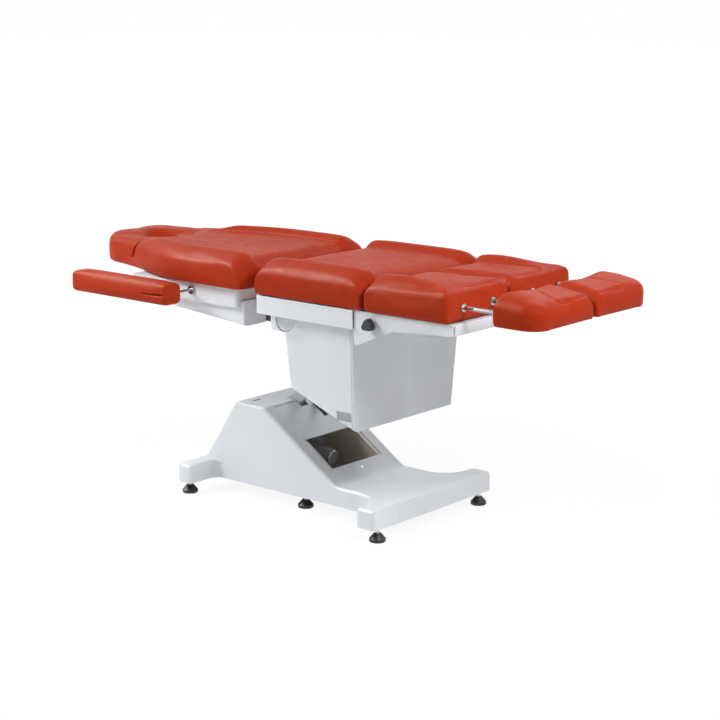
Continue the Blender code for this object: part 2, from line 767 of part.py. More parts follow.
def column_hollow():
    low = COLUMN_FRONT_LOW[1]
    body = column_solid(0.0, low, COLUMN_TOP)
    body = cut(body, column_solid(WALL, low - WALL, COLUMN_TOP + WALL))
    front, back = COLUMN_FRONT_LOW[0] + WALL, COLUMN_BACK_HIGH - WALL
    bottom = [(front, low - 2 * WALL), (front, low - WALL * COLUMN_BOTTOM_SLOPE),
              (back, low + COLUMN_BOTTOM_SLOPE * (COLUMN_FRONT_LOW[0] - back)), (back, low - 2 * WALL)]
    opening = box(back, COLUMN_BACK_LOW + 2 * WALL, -COLUMN_OPEN_HALF, COLUMN_OPEN_HALF,
                  low - WALL, COLUMN_OPEN_TOP)
    wide = 2.0 * COLUMN_HALF_HIGH
    return cut(body, prism(bottom, "Y", -wide, wide), opening)


def column_frame():
    web_back = ARM_HEAD[0] + ARM_HALF_HEIGHT + WALL
    web_front = web_back + PLATE_THICK
    lug_back = LINK_HEAD[0] - 2.0 * LINK_HALF_HEIGHT
    lug_low = LINK_HEAD[1] - 2.0 * LINK_HALF_HEIGHT
    body = box(lug_back - 2 * WALL, FLANGE_FRONT, -FLANGE_HALF, FLANGE_HALF,
               COLUMN_TOP - PLATE_THICK, COLUMN_TOP)
    web = box(web_back, web_front, -LUG_OUT + CLEAR, LUG_OUT - CLEAR, lug_low + WALL, COLUMN_TOP - CLEAR)
    body = union(body, web)
    for low, high in both_sides(LUG_IN, LUG_OUT):
        body = union(body, box(lug_back, web_front - CLEAR, low, high, lug_low, COLUMN_TOP - 2 * CLEAR))
    wide = 2.0 * LUG_OUT
    return cut(
        body,
        round_bar("Y", ARM_HEAD, LIFT_PIN_RADIUS + CLEAR, -wide, wide),
        round_bar("Y", LINK_HEAD, LIFT_PIN_RADIUS + CLEAR, -wide, wide),
    )


def rating_plate():
    body = box(PLATE_X - PLATE_LENGTH / 2, PLATE_X + PLATE_LENGTH / 2, -PLATE_SKIN, 0.0,
               -PLATE_HEIGHT / 2, PLATE_HEIGHT / 2)
    rise = COLUMN_TOP - COLUMN_FRONT_LOW[1]
    lean = math.atan2(COLUMN_HALF_HIGH - COLUMN_HALF_LOW, rise)
    side = column_side_y(PLATE_Z) + CLEAR / math.cos(lean)
    place = Matrix.Translation((0.0, -side, PLATE_Z)) @ Matrix.Rotation(lean, 4, "X")
    bmesh.ops.transform(body, matrix=place, verts=body.verts)
    return body


def column_shell():
    return combine(column_hollow(), column_slice(1.0, COVER_DEPTH + COVER_GROOVE), "INTERSECT")


def column_front_cover():
    return combine(column_hollow(), column_slice(COVER_DEPTH, -WALL), "INTERSECT")


add("column_frame", column_frame(), STEEL, "column_pivot")
add("column_shell", column_shell(), WHITE, "column_pivot")
add("column_front_cover", column_front_cover(), WHITE, "column_pivot")
add("rating_plate", rating_plate(), SILVER, "column_pivot")
add("arm_pin_column", pin(ARM_HEAD, LIFT_PIN_RADIUS, -LUG_OUT, LUG_OUT), BRIGHT, "column_pivot")
add("link_pin_column", pin(LINK_HEAD, LIFT_PIN_RADIUS, -LUG_OUT, LINK_PIN_END), BRIGHT, "column_pivot")


# Seat

DECK_LOW = DECK_TOP - WALL
BRACKET_LOW = PAN_BOTTOM + WALL + RUN_CLEAR
BRACKET_HIGH = BRACKET_LOW + BRACKET_HEIGHT
PAN_BACK = SEAT_BACK + 2.0 * WALL
PAN_FRONT = COLUMN_BACK_HIGH - WALL


def sweep(path, radius, sides=8):
    rings = []
    for i, here in enumerate(path):
        ahead = Vector(path[min(i + 1, len(path) - 1)])
        behind = Vector(path[max(i - 1, 0)])
        along = (ahead - behind).normalized()
        side = Vector((0.0, 1.0, 0.0))
        up = along.cross(side)
        ring = []
        for k in range(sides):
            t = 2.0 * math.pi * k / sides
            ring.append(Vector(here) + side * (radius * math.cos(t)) + up * (radius * math.sin(t)))
        rings.append(ring)
    return loft(rings)


def hand_control_hook():
    top = SKIRT_BOTTOM - CLEAR
    turn = (HOOK_FRONT - HOOK_BACK) / 2.0
    bend = HOOK_LOW + turn
    middle = (HOOK_FRONT + HOOK_BACK) / 2.0
    path = [(HOOK_BACK, -HOOK_Y, top), (HOOK_BACK, -HOOK_Y, bend + (top - bend) / 2)]
    for k in range(9):
        t = math.pi * (1.0 + k / 8.0)
        path.append((middle + turn * math.cos(t), -HOOK_Y, bend + turn * math.sin(t)))
    path += [(HOOK_FRONT, -HOOK_Y, bend + (top - bend) / 2), (HOOK_FRONT, -HOOK_Y, top)]
    return sweep(path, HOOK_WIRE)


def seat_cover():
    half = SKIRT_HALF_WIDTH
    outer = rounded([(SEAT_BACK, -half, 3 * WALL), (SEAT_FRONT, -half, 0.0),
                     (SEAT_FRONT, half, 0.0), (SEAT_BACK, half, 3 * WALL)])
    body = prism(outer, "Z", SKIRT_BOTTOM, DECK_TOP)
    hollow = rounded([(SEAT_BACK + WALL, WALL - half, 2 * WALL), (SEAT_FRONT + WALL, WALL - half, 0.0),
                      (SEAT_FRONT + WALL, half - WALL, 0.0), (SEAT_BACK + WALL, half - WALL, 2 * WALL)])
    body = cut(body, prism(hollow, "Z", SKIRT_BOTTOM - WALL, DECK_LOW))
    for low, high in both_sides(COLUMN_HALF_HIGH + 2 * WALL, half - WALL / 2):
        body = union(body, box(SEAT_BACK + WALL / 2, LIP_FRONT, low, high,
                               SKIRT_BOTTOM + CLEAR, SKIRT_BOTTOM + WALL))
    return body


def seat_pan():
    outline = rounded([(PAN_BACK, PAN_BOTTOM, 3 * WALL), (PAN_FRONT, PAN_BOTTOM, 3 * WALL),
                       (PAN_FRONT, COLUMN_TOP, 0.0), (PAN_BACK, COLUMN_TOP, 0.0)])
    hollow_back, hollow_front = PAN_BACK + WALL, PAN_FRONT - WALL
    hollow = rounded([(hollow_back, PAN_BOTTOM + WALL, 2 * WALL), (hollow_front, PAN_BOTTOM + WALL, 2 * WALL),
                      (hollow_front, COLUMN_TOP + WALL, 0.0), (hollow_back, COLUMN_TOP + WALL, 0.0)])
    half = PAN_HALF_WIDTH
    body = prism(outline, "Y", -half, half, 2 * WALL, 2 * WALL)
    body = cut(body, prism(hollow, "Y", WALL - half, half - WALL))
    hole_half = HINGE_BRACKET / 2 + RUN_CLEAR
    for low, high in both_sides(HINGE_Y - hole_half, HINGE_Y + hole_half):
        body = cut(body, box(PAN_BACK - WALL, PAN_BACK + 3 * WALL, low, high,
                             BRACKET_LOW - RUN_CLEAR / 2, BRACKET_HIGH + RUN_CLEAR))
    return body


def seat_frame():
    plate_back, plate_front = SEAT_BACK + 2 * WALL, LEG_PIVOT[0] - 2 * HINGE_RADIUS
    half = COLUMN_HALF_HIGH - WALL
    body = box(plate_back, plate_front, -half, half, PLATE_LOW, PLATE_HIGH)
    for low, high in both_sides(SEAT_RAIL_Y - SEAT_RAIL_WIDTH / 2, SEAT_RAIL_Y + SEAT_RAIL_WIDTH / 2):
        body = union(body, box(plate_back + WALL, plate_front - CLEAR, low, high,
                               PLATE_LOW + CLEAR, DECK_LOW - CLEAR))
    for middle in LEG_LUG_Y:
        for low, high in both_sides(middle - LEG_LUG_WIDTH / 2, middle + LEG_LUG_WIDTH / 2):
            root = (plate_front - 4 * WALL, PLATE_HIGH + HINGE_RADIUS / 2)
            lug = prism(bar(root, LEG_PIVOT, HINGE_RADIUS), "Y", low, high)
            hole = round_bar("Y", LEG_PIVOT, HINGE_PIN_RADIUS + CLEAR, low - WALL, high + WALL)
            body = union(body, cut(lug, hole))
    for low, high in both_sides(HINGE_Y - HINGE_BRACKET / 2, HINGE_Y + HINGE_BRACKET / 2):
        reach = box(BACK_PIVOT[0] - CLEAR, PAN_FRONT - 3 * WALL, low + CLEAR, high - CLEAR,
                    BRACKET_LOW, BRACKET_HIGH)
        root = (BACK_PIVOT[0], BRACKET_LOW + HINGE_RADIUS)
        lug = prism(bar(root, BACK_PIVOT, HINGE_RADIUS), "Y", low, high)
        hole = round_bar("Y", BACK_PIVOT, HINGE_PIN_RADIUS + CLEAR, low - WALL, high + WALL)
        riser = box(PAN_FRONT - 10 * WALL, PAN_FRONT - 3 * WALL - CLEAR, low, high,
                    BRACKET_LOW + CLEAR, PLATE_LOW + PLATE_THICK / 2)
        body = union(body, union(cut(lug, hole), reach, riser))
    return body


add("seat_frame", seat_frame(), STEEL, "column_pivot")
add("seat_cover", seat_cover(), WHITE, "column_pivot")
add("seat_pan", seat_pan(), WHITE, "column_pivot")
add("hand_control_hook", hand_control_hook(), CHROME, "column_pivot")


# Back section

frame("back_pivot", "column_pivot", (BACK_PIVOT[0], 0.0, BACK_PIVOT[1]))


def back_wedge(depth, top):
    return inset([(BACK_SHELL_HEAD + WALL, top), (BACK_SHELL_HEAD + WALL, BACK_HEAD_LOW),
                  (BACK_BEND, BACK_BEND_LOW), (BACK_WEDGE_SEAT, BACK_WEDGE_LOW),
                  (BACK_WEDGE_SEAT - WALL, top)], depth)


def back_shell():
    half, wedge_half = BACK_HALF_WIDTH, BACK_WEDGE_HALF
    skirt = rectangle(BACK_SHELL_HEAD, BACK_SHELL_SEAT, -half, half, 3 * WALL)
    body = prism(skirt, "Z", SKIRT_BOTTOM, DECK_TOP)
    overlap = SKIRT_BOTTOM + 5 * WALL
    body = union(body, prism(back_wedge(0.0, overlap), "Y", -wedge_half, wedge_half, 2 * WALL, 2 * WALL))
    body = cut(body, prism(inset(skirt, WALL), "Z", SKIRT_BOTTOM + WALL, DECK_LOW))
    body = cut(body, prism(back_wedge(WALL, overlap + WALL / 2), "Y", WALL - wedge_half, wedge_half - WALL))
    slot_half = HINGE_BRACKET / 2 + WALL
    knuckle_high = DECK_TOP - WALL / 2
    for side in (-1.0, 1.0):
        y = side * HINGE_Y
        for step in (-1.0, 1.0):
            middle = y + step * (slot_half + KNUCKLE / 2)
            body = union(body, box(BACK_PIVOT[0] - 1.3 * HINGE_RADIUS, BACK_PIVOT[0] + 1.3 * HINGE_RADIUS,
                                   middle - KNUCKLE / 2, middle + KNUCKLE / 2,
                                   BACK_PIVOT[1] - HINGE_RADIUS, knuckle_high))
        body = cut(body, box(BACK_PIVOT[0] - 3 * HINGE_RADIUS, BACK_WEDGE_SEAT + 2 * WALL,
                             y - slot_half, y + slot_half, BACK_WEDGE_LOW - 2 * WALL, DECK_TOP + WALL))
        reach = slot_half + KNUCKLE + WALL
        body = cut(body, round_bar("Y", BACK_PIVOT, HINGE_PIN_RADIUS + CLEAR, y - reach, y + reach))
        flange_in = min(side * (half - 2 * WALL), side * (half + WALL))
        flange_out = max(side * (half - 2 * WALL), side * (half + WALL))
        rod_hole = ARMREST_ROD_RADIUS + RUN_CLEAR
        body = cut(body, round_bar("Y", ARMREST_PIVOT, rod_hole, flange_in, flange_out))
    return body


add("back_shell", back_shell(), WHITE, "back_pivot")
PIN_REACH = HINGE_BRACKET / 2 + WALL + KNUCKLE
add("back_pin_near", pin(BACK_PIVOT, HINGE_PIN_RADIUS, -HINGE_Y - PIN_REACH, PIN_REACH - HINGE_Y),
    BRIGHT, "column_pivot")
add("back_pin_far", pin(BACK_PIVOT, HINGE_PIN_RADIUS, HINGE_Y - PIN_REACH, HINGE_Y + PIN_REACH),
    BRIGHT, "column_pivot")


# Leg sections

def mirrored(body, side):
    if side < 0.0:
        bmesh.ops.scale(body, vec=(1.0, -1.0, 1.0), verts=body.verts)
        bmesh.ops.reverse_faces(body, faces=body.faces)
    return body


def leg_knuckles():
    gap = 3.0 * RUN_CLEAR
    inner = LEG_LUG_Y[0] - LEG_LUG_WIDTH / 2 - gap
    outer = LEG_LUG_Y[1] + LEG_LUG_WIDTH / 2 + gap
    return ((inner - KNUCKLE, inner), (outer, outer + KNUCKLE))


def leg_low(x):
    return LEG_END_LOW - LEG_BOTTOM_SLOPE * (LEG_END - x)


def leg_shell(side):
    deck_back = LEG_PIVOT[0] + 1.3 * HINGE_RADIUS
    deck_high = DECK_TOP - CLEAR
    body = box(deck_back, LEG_END, LEG_IN, LEG_OUT - WALL / 2, DECK_LOW, deck_high)
    case = [(LEG_BOX_BACK, DECK_LOW + WALL / 2), (LEG_BOX_BACK, leg_low(LEG_BOX_BACK)),
            (LEG_END - CLEAR, leg_low(LEG_END)), (LEG_END - CLEAR, DECK_LOW + WALL / 2)]
    body = union(body, prism(case, "Y", LEG_IN + CLEAR, LEG_BOX_OUT))
    hollow_back, hollow_front = LEG_BOX_BACK - WALL, LEG_END - WALL
    hollow = [(hollow_back, DECK_LOW - CLEAR), (hollow_back, leg_low(hollow_back) + WALL),
              (hollow_front, leg_low(hollow_front) + WALL), (hollow_front, DECK_LOW - CLEAR)]
    body = cut(body, prism(hollow, "Y", LEG_IN + WALL, LEG_BOX_OUT - WALL))
    plate = rounded([(GUSSET_BACK, DECK_TOP, WALL), (GUSSET_BACK, GUSSET_LOW, 2 * WALL),
                     (GUSSET_FRONT, GUSSET_FRONT_LOW, 8 * WALL), (LEG_END, LEG_SKIRT_LOW, 0.0),
                     (LEG_END, DECK_TOP, 0.0)])
    body = union(body, prism(plate, "Y", LEG_OUT - WALL, LEG_OUT))
    for low, high in leg_knuckles():
        tongue = (deck_back + 2 * HINGE_RADIUS, deck_high - HINGE_RADIUS - CLEAR)
        body = union(body, prism(bar(LEG_PIVOT, tongue, HINGE_RADIUS), "Y", low, high))
        body = cut(body, round_bar("Y", LEG_PIVOT, HINGE_PIN_RADIUS + CLEAR, low - WALL, high + WALL))
    return mirrored(body, side)


def leg_pin(side):
    (low, _), (_, high) = leg_knuckles()
    return mirrored(pin(LEG_PIVOT, HINGE_PIN_RADIUS, low, high), side)


def lock_knob(side):
    height = KNOB_SIDE * math.sqrt(3.0) / 2.0
    corners = []
    for k in range(3):
        t = math.radians(KNOB_TURN + 120.0 * k)
        reach = height * 2.0 / 3.0 + KNOB_LOBE
        corners.append((KNOB_X + reach * math.cos(t), KNOB_Z + reach * math.sin(t), KNOB_LOBE))
    head = prism(rounded(corners, 6), "Y", KNOB_IN, KNOB_OUT, 0.0, KNOB_LOBE / 3)
    neck = round_bar("Y", (KNOB_X, KNOB_Z), KNOB_NECK_RADIUS, LEG_OUT + CLEAR, KNOB_IN + WALL)
    return mirrored(union(head, neck), side)


def rod_guide(y):
    flange_start = LEG_CUSHION_END + CLEAR
    body = round_bar("X", (y, PAD_ROD_Z), GUIDE_RADIUS, GUIDE_BACK, flange_start + WALL / 2)
    flange = round_bar("X", (y, PAD_ROD_Z), GUIDE_FLANGE_RADIUS, flange_start, flange_start + GUIDE_FLANGE)
    bore = round_bar("X", (y, PAD_ROD_Z), PAD_ROD_RADIUS + RUN_CLEAR, GUIDE_BACK - WALL, LEG_END + 2 * WALL)
    return cut(union(body, flange), bore)


def pad_rod(y):
    return round_bar("X", (y, PAD_ROD_Z), PAD_ROD_RADIUS, PAD_ROD_BACK, PAD_BACK + PAD_ROD_SINK)


# Upholstery

CUSHION_LOW = DECK_TOP + CLEAR


def roll(distance, radius):
    if distance >= radius:
        return 0.0
    return radius - math.sqrt(max(radius ** 2 - (radius - distance) ** 2, 0.0))


def side_points(crest, panel, bolster, tuck):
    swell = crest - panel
    return [
        (tuck, 0.0),
        (0.3 * tuck, 0.14 * crest),
        (0.0, 0.42 * crest),
        (0.03 * bolster, 0.68 * crest),
        (0.14 * bolster, 0.79 * crest),
        (0.58 * bolster, crest),
        (0.82 * bolster, crest - 0.5 * swell),
        (0.97 * bolster, panel - CHANNEL),
        (1.08 * bolster, panel),
    ]


def stations(start, end, start_roll, end_roll, pitch):
    places = [start + start_roll * s for s in ROLL_STEPS]
    inner_start, inner_end = start + start_roll, end - end_roll
    count = max(1, round((inner_end - inner_start) / pitch))
    places += [inner_start + (inner_end - inner_start) * k / count for k in range(1, count)]
    places += [end - end_roll * s for s in ROLL_STEPS[::-1]]
    return places


def cushion(places, span, low, crests, panel, bolsters, rolls, corners):
    rings = []
    for x in places:
        from_start, from_end = x - places[0], places[-1] - x
        drop = roll(from_start, rolls[0]) + roll(from_end, rolls[1])
        pull = roll(from_start, corners[0]) + roll(from_end, corners[1])
        y0, y1 = span(x)
        y0, y1 = y0 + pull, y1 - pull
        reach = min(1.0, (y1 - y0) / (2.2 * sum(bolsters)))
        heights = [crest(x) for crest in crests]
        left = side_points(heights[0], panel(x), bolsters[0] * reach, TUCK)
        right = side_points(heights[1], panel(x), bolsters[1] * reach, TUCK)
        middle = (left[-1][0] + y0 + y1 - right[-1][0]) / 2.0
        ring = [(y0 + s, h) for s, h in left]
        ring.append((middle, panel(x) + CROWN))
        ring += [(y1 - s, h) for s, h in right[::-1]]
        ring = [(x, y, low + h * (1.0 - drop / max(heights))) for y, h in ring]
        rings.append(ring + [(x, middle, low)])
    return loft(rings)


def level(value):
    return lambda x: value


def ease(start, end, x):
    t = min(1.0, max(0.0, (x - start) / (end - start)))
    return t * t * (3.0 - 2.0 * t)


def back_half(x):
    wide = ease(HEAD_NECK, HEAD_START, x)
    half = HEAD_HALF_WIDTH + (CUSHION_HALF_WIDTH - HEAD_HALF_WIDTH) * wide
    if x < HEAD_CURVE:
        part = (HEAD_CURVE - x) / (HEAD_CURVE - HEAD_END)
        half = max(HEAD_TIP_HALF, half * math.sqrt(max(0.0, 1.0 - part ** 2)))
    return half


def back_span(x):
    return (-back_half(x), back_half(x))


def back_crest(x):
    return HEAD_CREST + (CREST - HEAD_CREST) * ease(HEAD_NECK, HEAD_START, x)


def back_panel(x):
    return HEAD_PANEL + (PANEL - HEAD_PANEL) * ease(HEAD_NECK, HEAD_START, x)


def face_hole():
    top = CUSHION_LOW + HEAD_CREST
    levels = ((0.0, CUSHION_LOW - WALL), (0.1, top - HOLE_FLARE), (0.45, top - HOLE_FLARE / 3),
              (1.3, top + WALL))
    rings = []
    for part, z in levels:
        grow = 2.0 * HOLE_FLARE * part
        ring = []
        for u, v in circle((0.0, 0.0), 0.5, 2 * PIN_SIDES):
            ring.append((HOLE_X + u * (HOLE_LENGTH + grow), v * (HOLE_WIDTH + grow), z))
        rings.append(ring)
    return loft(rings)


def back_cushion():
    places = stations(HEAD_END, BACK_CUSHION_SEAT, HEAD_ROLL, BACK_ROLL, PITCH)
    body = cushion(places, back_span, CUSHION_LOW, (back_crest, back_crest), back_panel,
                   (BACK_BOLSTER, BACK_BOLSTER), (HEAD_ROLL, BACK_ROLL), (0.0, CORNER))
    return cut(body, face_hole())


def seat_cushion():
    places = stations(SEAT_CUSHION_BACK, SEAT_CUSHION_FRONT, SEAT_ROLL, SEAT_ROLL, PITCH)
    span = level((-CUSHION_HALF_WIDTH, CUSHION_HALF_WIDTH))
    return cushion(places, span, CUSHION_LOW, (level(CREST), level(CREST)), level(PANEL),
                   (SEAT_BOLSTER, SEAT_BOLSTER), (SEAT_ROLL, SEAT_ROLL), (CORNER, CORNER))


def leg_cushion(side):
    places = stations(LEG_CUSHION_BACK, LEG_CUSHION_END, LEG_ROLL, LEG_ROLL, PITCH)
    span = level((LEG_CUSHION_GAP, CUSHION_HALF_WIDTH))
    body = cushion(places, span, CUSHION_LOW, (level(LEG_INNER_CREST), level(CREST)), level(PANEL),
                   (LEG_INNER_BOLSTER, LEG_BOLSTER), (LEG_ROLL, LEG_ROLL), (CORNER / 2, CORNER / 2))
    for y in PAD_ROD_Y:
        body = cut(body, round_bar("X", (y, PAD_ROD_Z), GUIDE_RADIUS + CLEAR, GUIDE_BACK - CLEAR, LEG_END))
    return mirrored(body, side)


def pad_span(x):
    return (PAD_IN, PAD_OUT - roll(FOOT_END - x, PAD_SWEEP))


def foot_pad(side):
    places = stations(PAD_BACK, FOOT_END, PAD_ROLL, PAD_ROLL, PITCH / 2)
    body = cushion(places, pad_span, PAD_LOW, (level(PAD_INNER_CREST), level(PAD_CREST)),
                   level(PAD_PANEL), (PAD_INNER_BOLSTER, PAD_BOLSTER), (PAD_ROLL, PAD_ROLL),
                   (CORNER / 2, CORNER / 2))
    for y in PAD_ROD_Y:
        body = cut(body, round_bar("X", (y, PAD_ROD_Z), PAD_ROD_RADIUS + CLEAR, PAD_BACK - WALL,
                                   PAD_BACK + PAD_ROD_SINK + CLEAR))
    return mirrored(body, side)


def armrest_pad(side):
    outline = rectangle(ARMREST_IN, ARMREST_OUT, ARMREST_LOW, ARMREST_TOP, ARMREST_CORNER)
    rounding = ARMREST_CORNER - WALL
    body = prism(outline, "X", ARMREST_HEAD, ARMREST_SEAT, rounding, rounding)
    bore = round_bar("Y", ARMREST_PIVOT, ARMREST_ROD_RADIUS + CLEAR, ARMREST_IN - WALL,
                     ARMREST_ROD_OUT + CLEAR)
    return mirrored(cut(body, bore), side)


def armrest_flange(side):
    low = BACK_HALF_WIDTH + CLEAR
    body = prism(circle(ARMREST_PIVOT, ARMREST_FLANGE_RADIUS), "Y", low, low + ARMREST_FLANGE,
                 0.0, WALL / 2)
    return mirrored(cut(body, round_bar("Y", ARMREST_PIVOT, ARMREST_ROD_RADIUS + RUN_CLEAR, low - WALL,
                                        low + 2 * ARMREST_FLANGE)), side)


def armrest_rod(side):
    return mirrored(pin(ARMREST_PIVOT, ARMREST_ROD_RADIUS, ARMREST_ROD_IN, ARMREST_ROD_OUT), side)


add("seat_cushion", seat_cushion(), LEATHER, "column_pivot")
add("back_cushion", back_cushion(), LEATHER, "back_pivot")

for label, side in (("near", -1.0), ("far", 1.0)):
    leg, pad, knob, rest = "leg_" + label, "pad_" + label, "knob_" + label, "armrest_" + label
    frame(leg, "column_pivot", (LEG_PIVOT[0], 0.0, LEG_PIVOT[1]))
    frame(pad, leg, (PAD_BACK, 0.0, PAD_ROD_Z))
    frame(knob, leg, (KNOB_X, side * LEG_OUT, KNOB_Z))
    frame(rest, "back_pivot", (ARMREST_PIVOT[0], side * BACK_HALF_WIDTH, ARMREST_PIVOT[1]))
    add("leg_shell_" + label, leg_shell(side), WHITE, leg)
    add("leg_cushion_" + label, leg_cushion(side), LEATHER, leg)
    add("leg_pin_" + label, leg_pin(side), BRIGHT, "column_pivot")
    add("lock_knob_" + label, lock_knob(side), BLACK, knob)
    for spot, y in zip(("inner", "outer"), PAD_ROD_Y):
        add("rod_guide_" + spot + "_" + label, rod_guide(side * y), CHROME, leg)
        add("pad_rod_" + spot + "_" + label, pad_rod(side * y), CHROME, pad)
    add("foot_pad_" + label, foot_pad(side), LEATHER, pad)
    add("armrest_pad_" + label, armrest_pad(side), LEATHER, rest)
    add("armrest_rod_" + label, armrest_rod(side), CHROME, rest)
    add("armrest_flange_" + label, armrest_flange(side), CHROME, "back_pivot")
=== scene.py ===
import json
import math

import bmesh
import bpy
import numpy as np
from mathutils import Matrix, Vector


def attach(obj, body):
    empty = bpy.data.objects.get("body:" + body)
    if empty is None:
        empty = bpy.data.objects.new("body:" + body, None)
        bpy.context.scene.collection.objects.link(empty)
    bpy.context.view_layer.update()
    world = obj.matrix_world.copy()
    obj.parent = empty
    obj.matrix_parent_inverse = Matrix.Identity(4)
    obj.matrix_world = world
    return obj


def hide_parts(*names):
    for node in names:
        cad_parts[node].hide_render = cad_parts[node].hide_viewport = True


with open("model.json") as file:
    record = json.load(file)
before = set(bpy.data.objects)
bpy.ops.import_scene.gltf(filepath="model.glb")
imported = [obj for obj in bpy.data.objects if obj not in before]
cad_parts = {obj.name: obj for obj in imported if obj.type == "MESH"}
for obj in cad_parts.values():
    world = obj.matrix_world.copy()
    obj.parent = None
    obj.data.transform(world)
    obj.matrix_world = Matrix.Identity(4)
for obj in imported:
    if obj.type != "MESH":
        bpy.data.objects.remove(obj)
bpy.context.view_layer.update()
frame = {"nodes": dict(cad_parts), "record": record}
NODES = frame["nodes"]

# Camera at the photograph's angle

AZIMUTH = math.radians(40.532)
ELEVATION = math.radians(12.378)
EYE = Vector((3.629, -4.136, 1.659))
LENS = 90.3
SENSOR = 36.0
CLIP_END = 100.0


def make_camera():
    level = math.cos(ELEVATION)
    back = Vector((math.sin(AZIMUTH) * level, -math.cos(AZIMUTH) * level, math.sin(ELEVATION)))
    right = Vector((math.cos(AZIMUTH), math.sin(AZIMUTH), 0.0))
    up = back.cross(right)
    data = bpy.data.cameras.new("camera")
    data.sensor_width = SENSOR
    data.lens = LENS
    data.clip_end = CLIP_END
    camera = bpy.data.objects.new("camera", data)
    bpy.context.scene.collection.objects.link(camera)
    turn = Matrix((right, up, back)).transposed().to_4x4()
    camera.matrix_world = Matrix.Translation(EYE) @ turn
    bpy.context.scene.camera = camera


make_camera()


# Node helpers for the finishes

class Finish:
    def __init__(self, name, **constants):
        self.material = bpy.data.materials.new(name)
        self.material.use_nodes = True
        self.tree = self.material.node_tree
        self.shader = self.tree.nodes["Principled BSDF"]
        for key, value in constants.items():
            self.shader.inputs[key.replace("_", " ")].default_value = value
        self.place = self.tree.nodes.new("ShaderNodeTexCoord").outputs["Object"]

    def link(self, source, target):
        self.tree.links.new(source, target)

    def noise(self, scale, detail=3.0, rough=0.55, stretch=None):
        node = self.tree.nodes.new("ShaderNodeTexNoise")
        node.inputs["Scale"].default_value = scale
        node.inputs["Detail"].default_value = detail
        node.inputs["Roughness"].default_value = rough
        self.link(self.stretched(stretch), node.inputs["Vector"])
        return node.outputs["Fac"]

    def stretched(self, stretch):
        if not stretch:
            return self.place
        node = self.tree.nodes.new("ShaderNodeMapping")
        node.inputs["Scale"].default_value = stretch
        self.link(self.place, node.inputs["Vector"])
        return node.outputs["Vector"]

    def cells(self, scale):
        node = self.tree.nodes.new("ShaderNodeTexVoronoi")
        node.feature = "DISTANCE_TO_EDGE"
        node.inputs["Scale"].default_value = scale
        self.link(self.place, node.inputs["Vector"])
        return node.outputs["Distance"]

    def ramp(self, source, *stops):
        node = self.tree.nodes.new("ShaderNodeValToRGB")
        marks = node.color_ramp.elements
        while len(marks) < len(stops):
            marks.new(0.5)
        for mark, (place, colour) in zip(marks, stops):
            mark.position = place
            mark.color = (*colour, 1.0) if len(colour) == 3 else colour
        self.link(source, node.inputs["Fac"])
        return node.outputs["Color"]

    def spread(self, source, low, high, span=(0.3, 0.7)):
        node = self.tree.nodes.new("ShaderNodeMapRange")
        node.inputs["From Min"].default_value = span[0]
        node.inputs["From Max"].default_value = span[1]
        node.inputs["To Min"].default_value = low
        node.inputs["To Max"].default_value = high
        self.link(source, node.inputs["Value"])
        return node.outputs["Result"]

    def sum(self, first, second, share):
        node = self.tree.nodes.new("ShaderNodeMath")
        node.operation = "MULTIPLY_ADD"
        node.inputs[1].default_value = share
        self.link(second, node.inputs[0])
        self.link(first, node.inputs[2])
        return node.outputs["Value"]

    def colour(self, source):
        self.link(source, self.shader.inputs["Base Color"])

    def roughness(self, source):
        self.link(source, self.shader.inputs["Roughness"])

    def bump(self, source, depth, strength=0.5):
        node = self.tree.nodes.new("ShaderNodeBump")
        node.inputs["Distance"].default_value = depth
        node.inputs["Strength"].default_value = strength
        self.link(source, node.inputs["Height"])
        self.link(node.outputs["Normal"], self.shader.inputs["Normal"])


# Finishes, with colours in linear light

BLACK_LOW, BLACK_HIGH = (0.009, 0.009, 0.010), (0.022, 0.022, 0.023)
GREY_LOW, GREY_HIGH = (0.40, 0.42, 0.45), (0.48, 0.50, 0.53)
STEM_COLOUR = (0.60, 0.60, 0.61)
STEM_FOOT = (0.0262, 0.0266)


def white_gloss():
    finish = Finish("white_moulded", Specular_IOR_Level=0.24, Coat_Weight=0.05, Coat_Roughness=0.20)
    broad = finish.noise(3.0, 4.0)
    finish.colour(finish.ramp(broad, (0.25, (0.800, 0.832, 0.866)), (0.75, (0.818, 0.850, 0.884))))
    finish.roughness(finish.spread(finish.noise(6.0, 3.0), 0.42, 0.48))
    finish.bump(finish.noise(120.0, 2.0), 0.0003, 0.05)
    return finish.material


def white_paint():
    finish = Finish("white_painted_steel")
    finish.colour(finish.ramp(finish.noise(5.0, 4.0), (0.3, (0.70, 0.72, 0.74)), (0.7, (0.77, 0.79, 0.81))))
    finish.roughness(finish.spread(finish.noise(60.0), 0.32, 0.45))
    finish.bump(finish.noise(500.0, 2.0), 0.0003, 0.15)
    return finish.material


def red_leather():
    finish = Finish("red_leather", Specular_IOR_Level=0.042, Specular_Tint=(1.0, 0.84, 0.63, 1.0))
    broad = finish.noise(7.0, 5.0, 0.6)
    fine = finish.noise(90.0, 3.0)
    mixed = finish.sum(broad, fine, 0.25)
    finish.colour(finish.ramp(mixed, (0.35, (0.374, 0.029, 0.008)), (0.62, (0.410, 0.035, 0.010)),
                              (0.9, (0.442, 0.042, 0.013))))
    finish.roughness(finish.spread(finish.noise(30.0, 4.0), 0.34, 0.46))
    grain = finish.spread(finish.cells(520.0), 0.0, 1.0, (0.0, 0.22))
    finish.bump(finish.sum(grain, finish.noise(45.0, 4.0), 1.2), 0.0006, 0.22)
    return finish.material


def painted_steel(name, low, high):
    finish = Finish(name, Metallic=0.1)
    finish.colour(finish.ramp(finish.noise(9.0, 5.0), (0.3, low), (0.7, high)))
    finish.roughness(finish.spread(finish.noise(70.0), 0.42, 0.6))
    finish.bump(finish.noise(260.0), 0.0004, 0.25)
    return finish.material


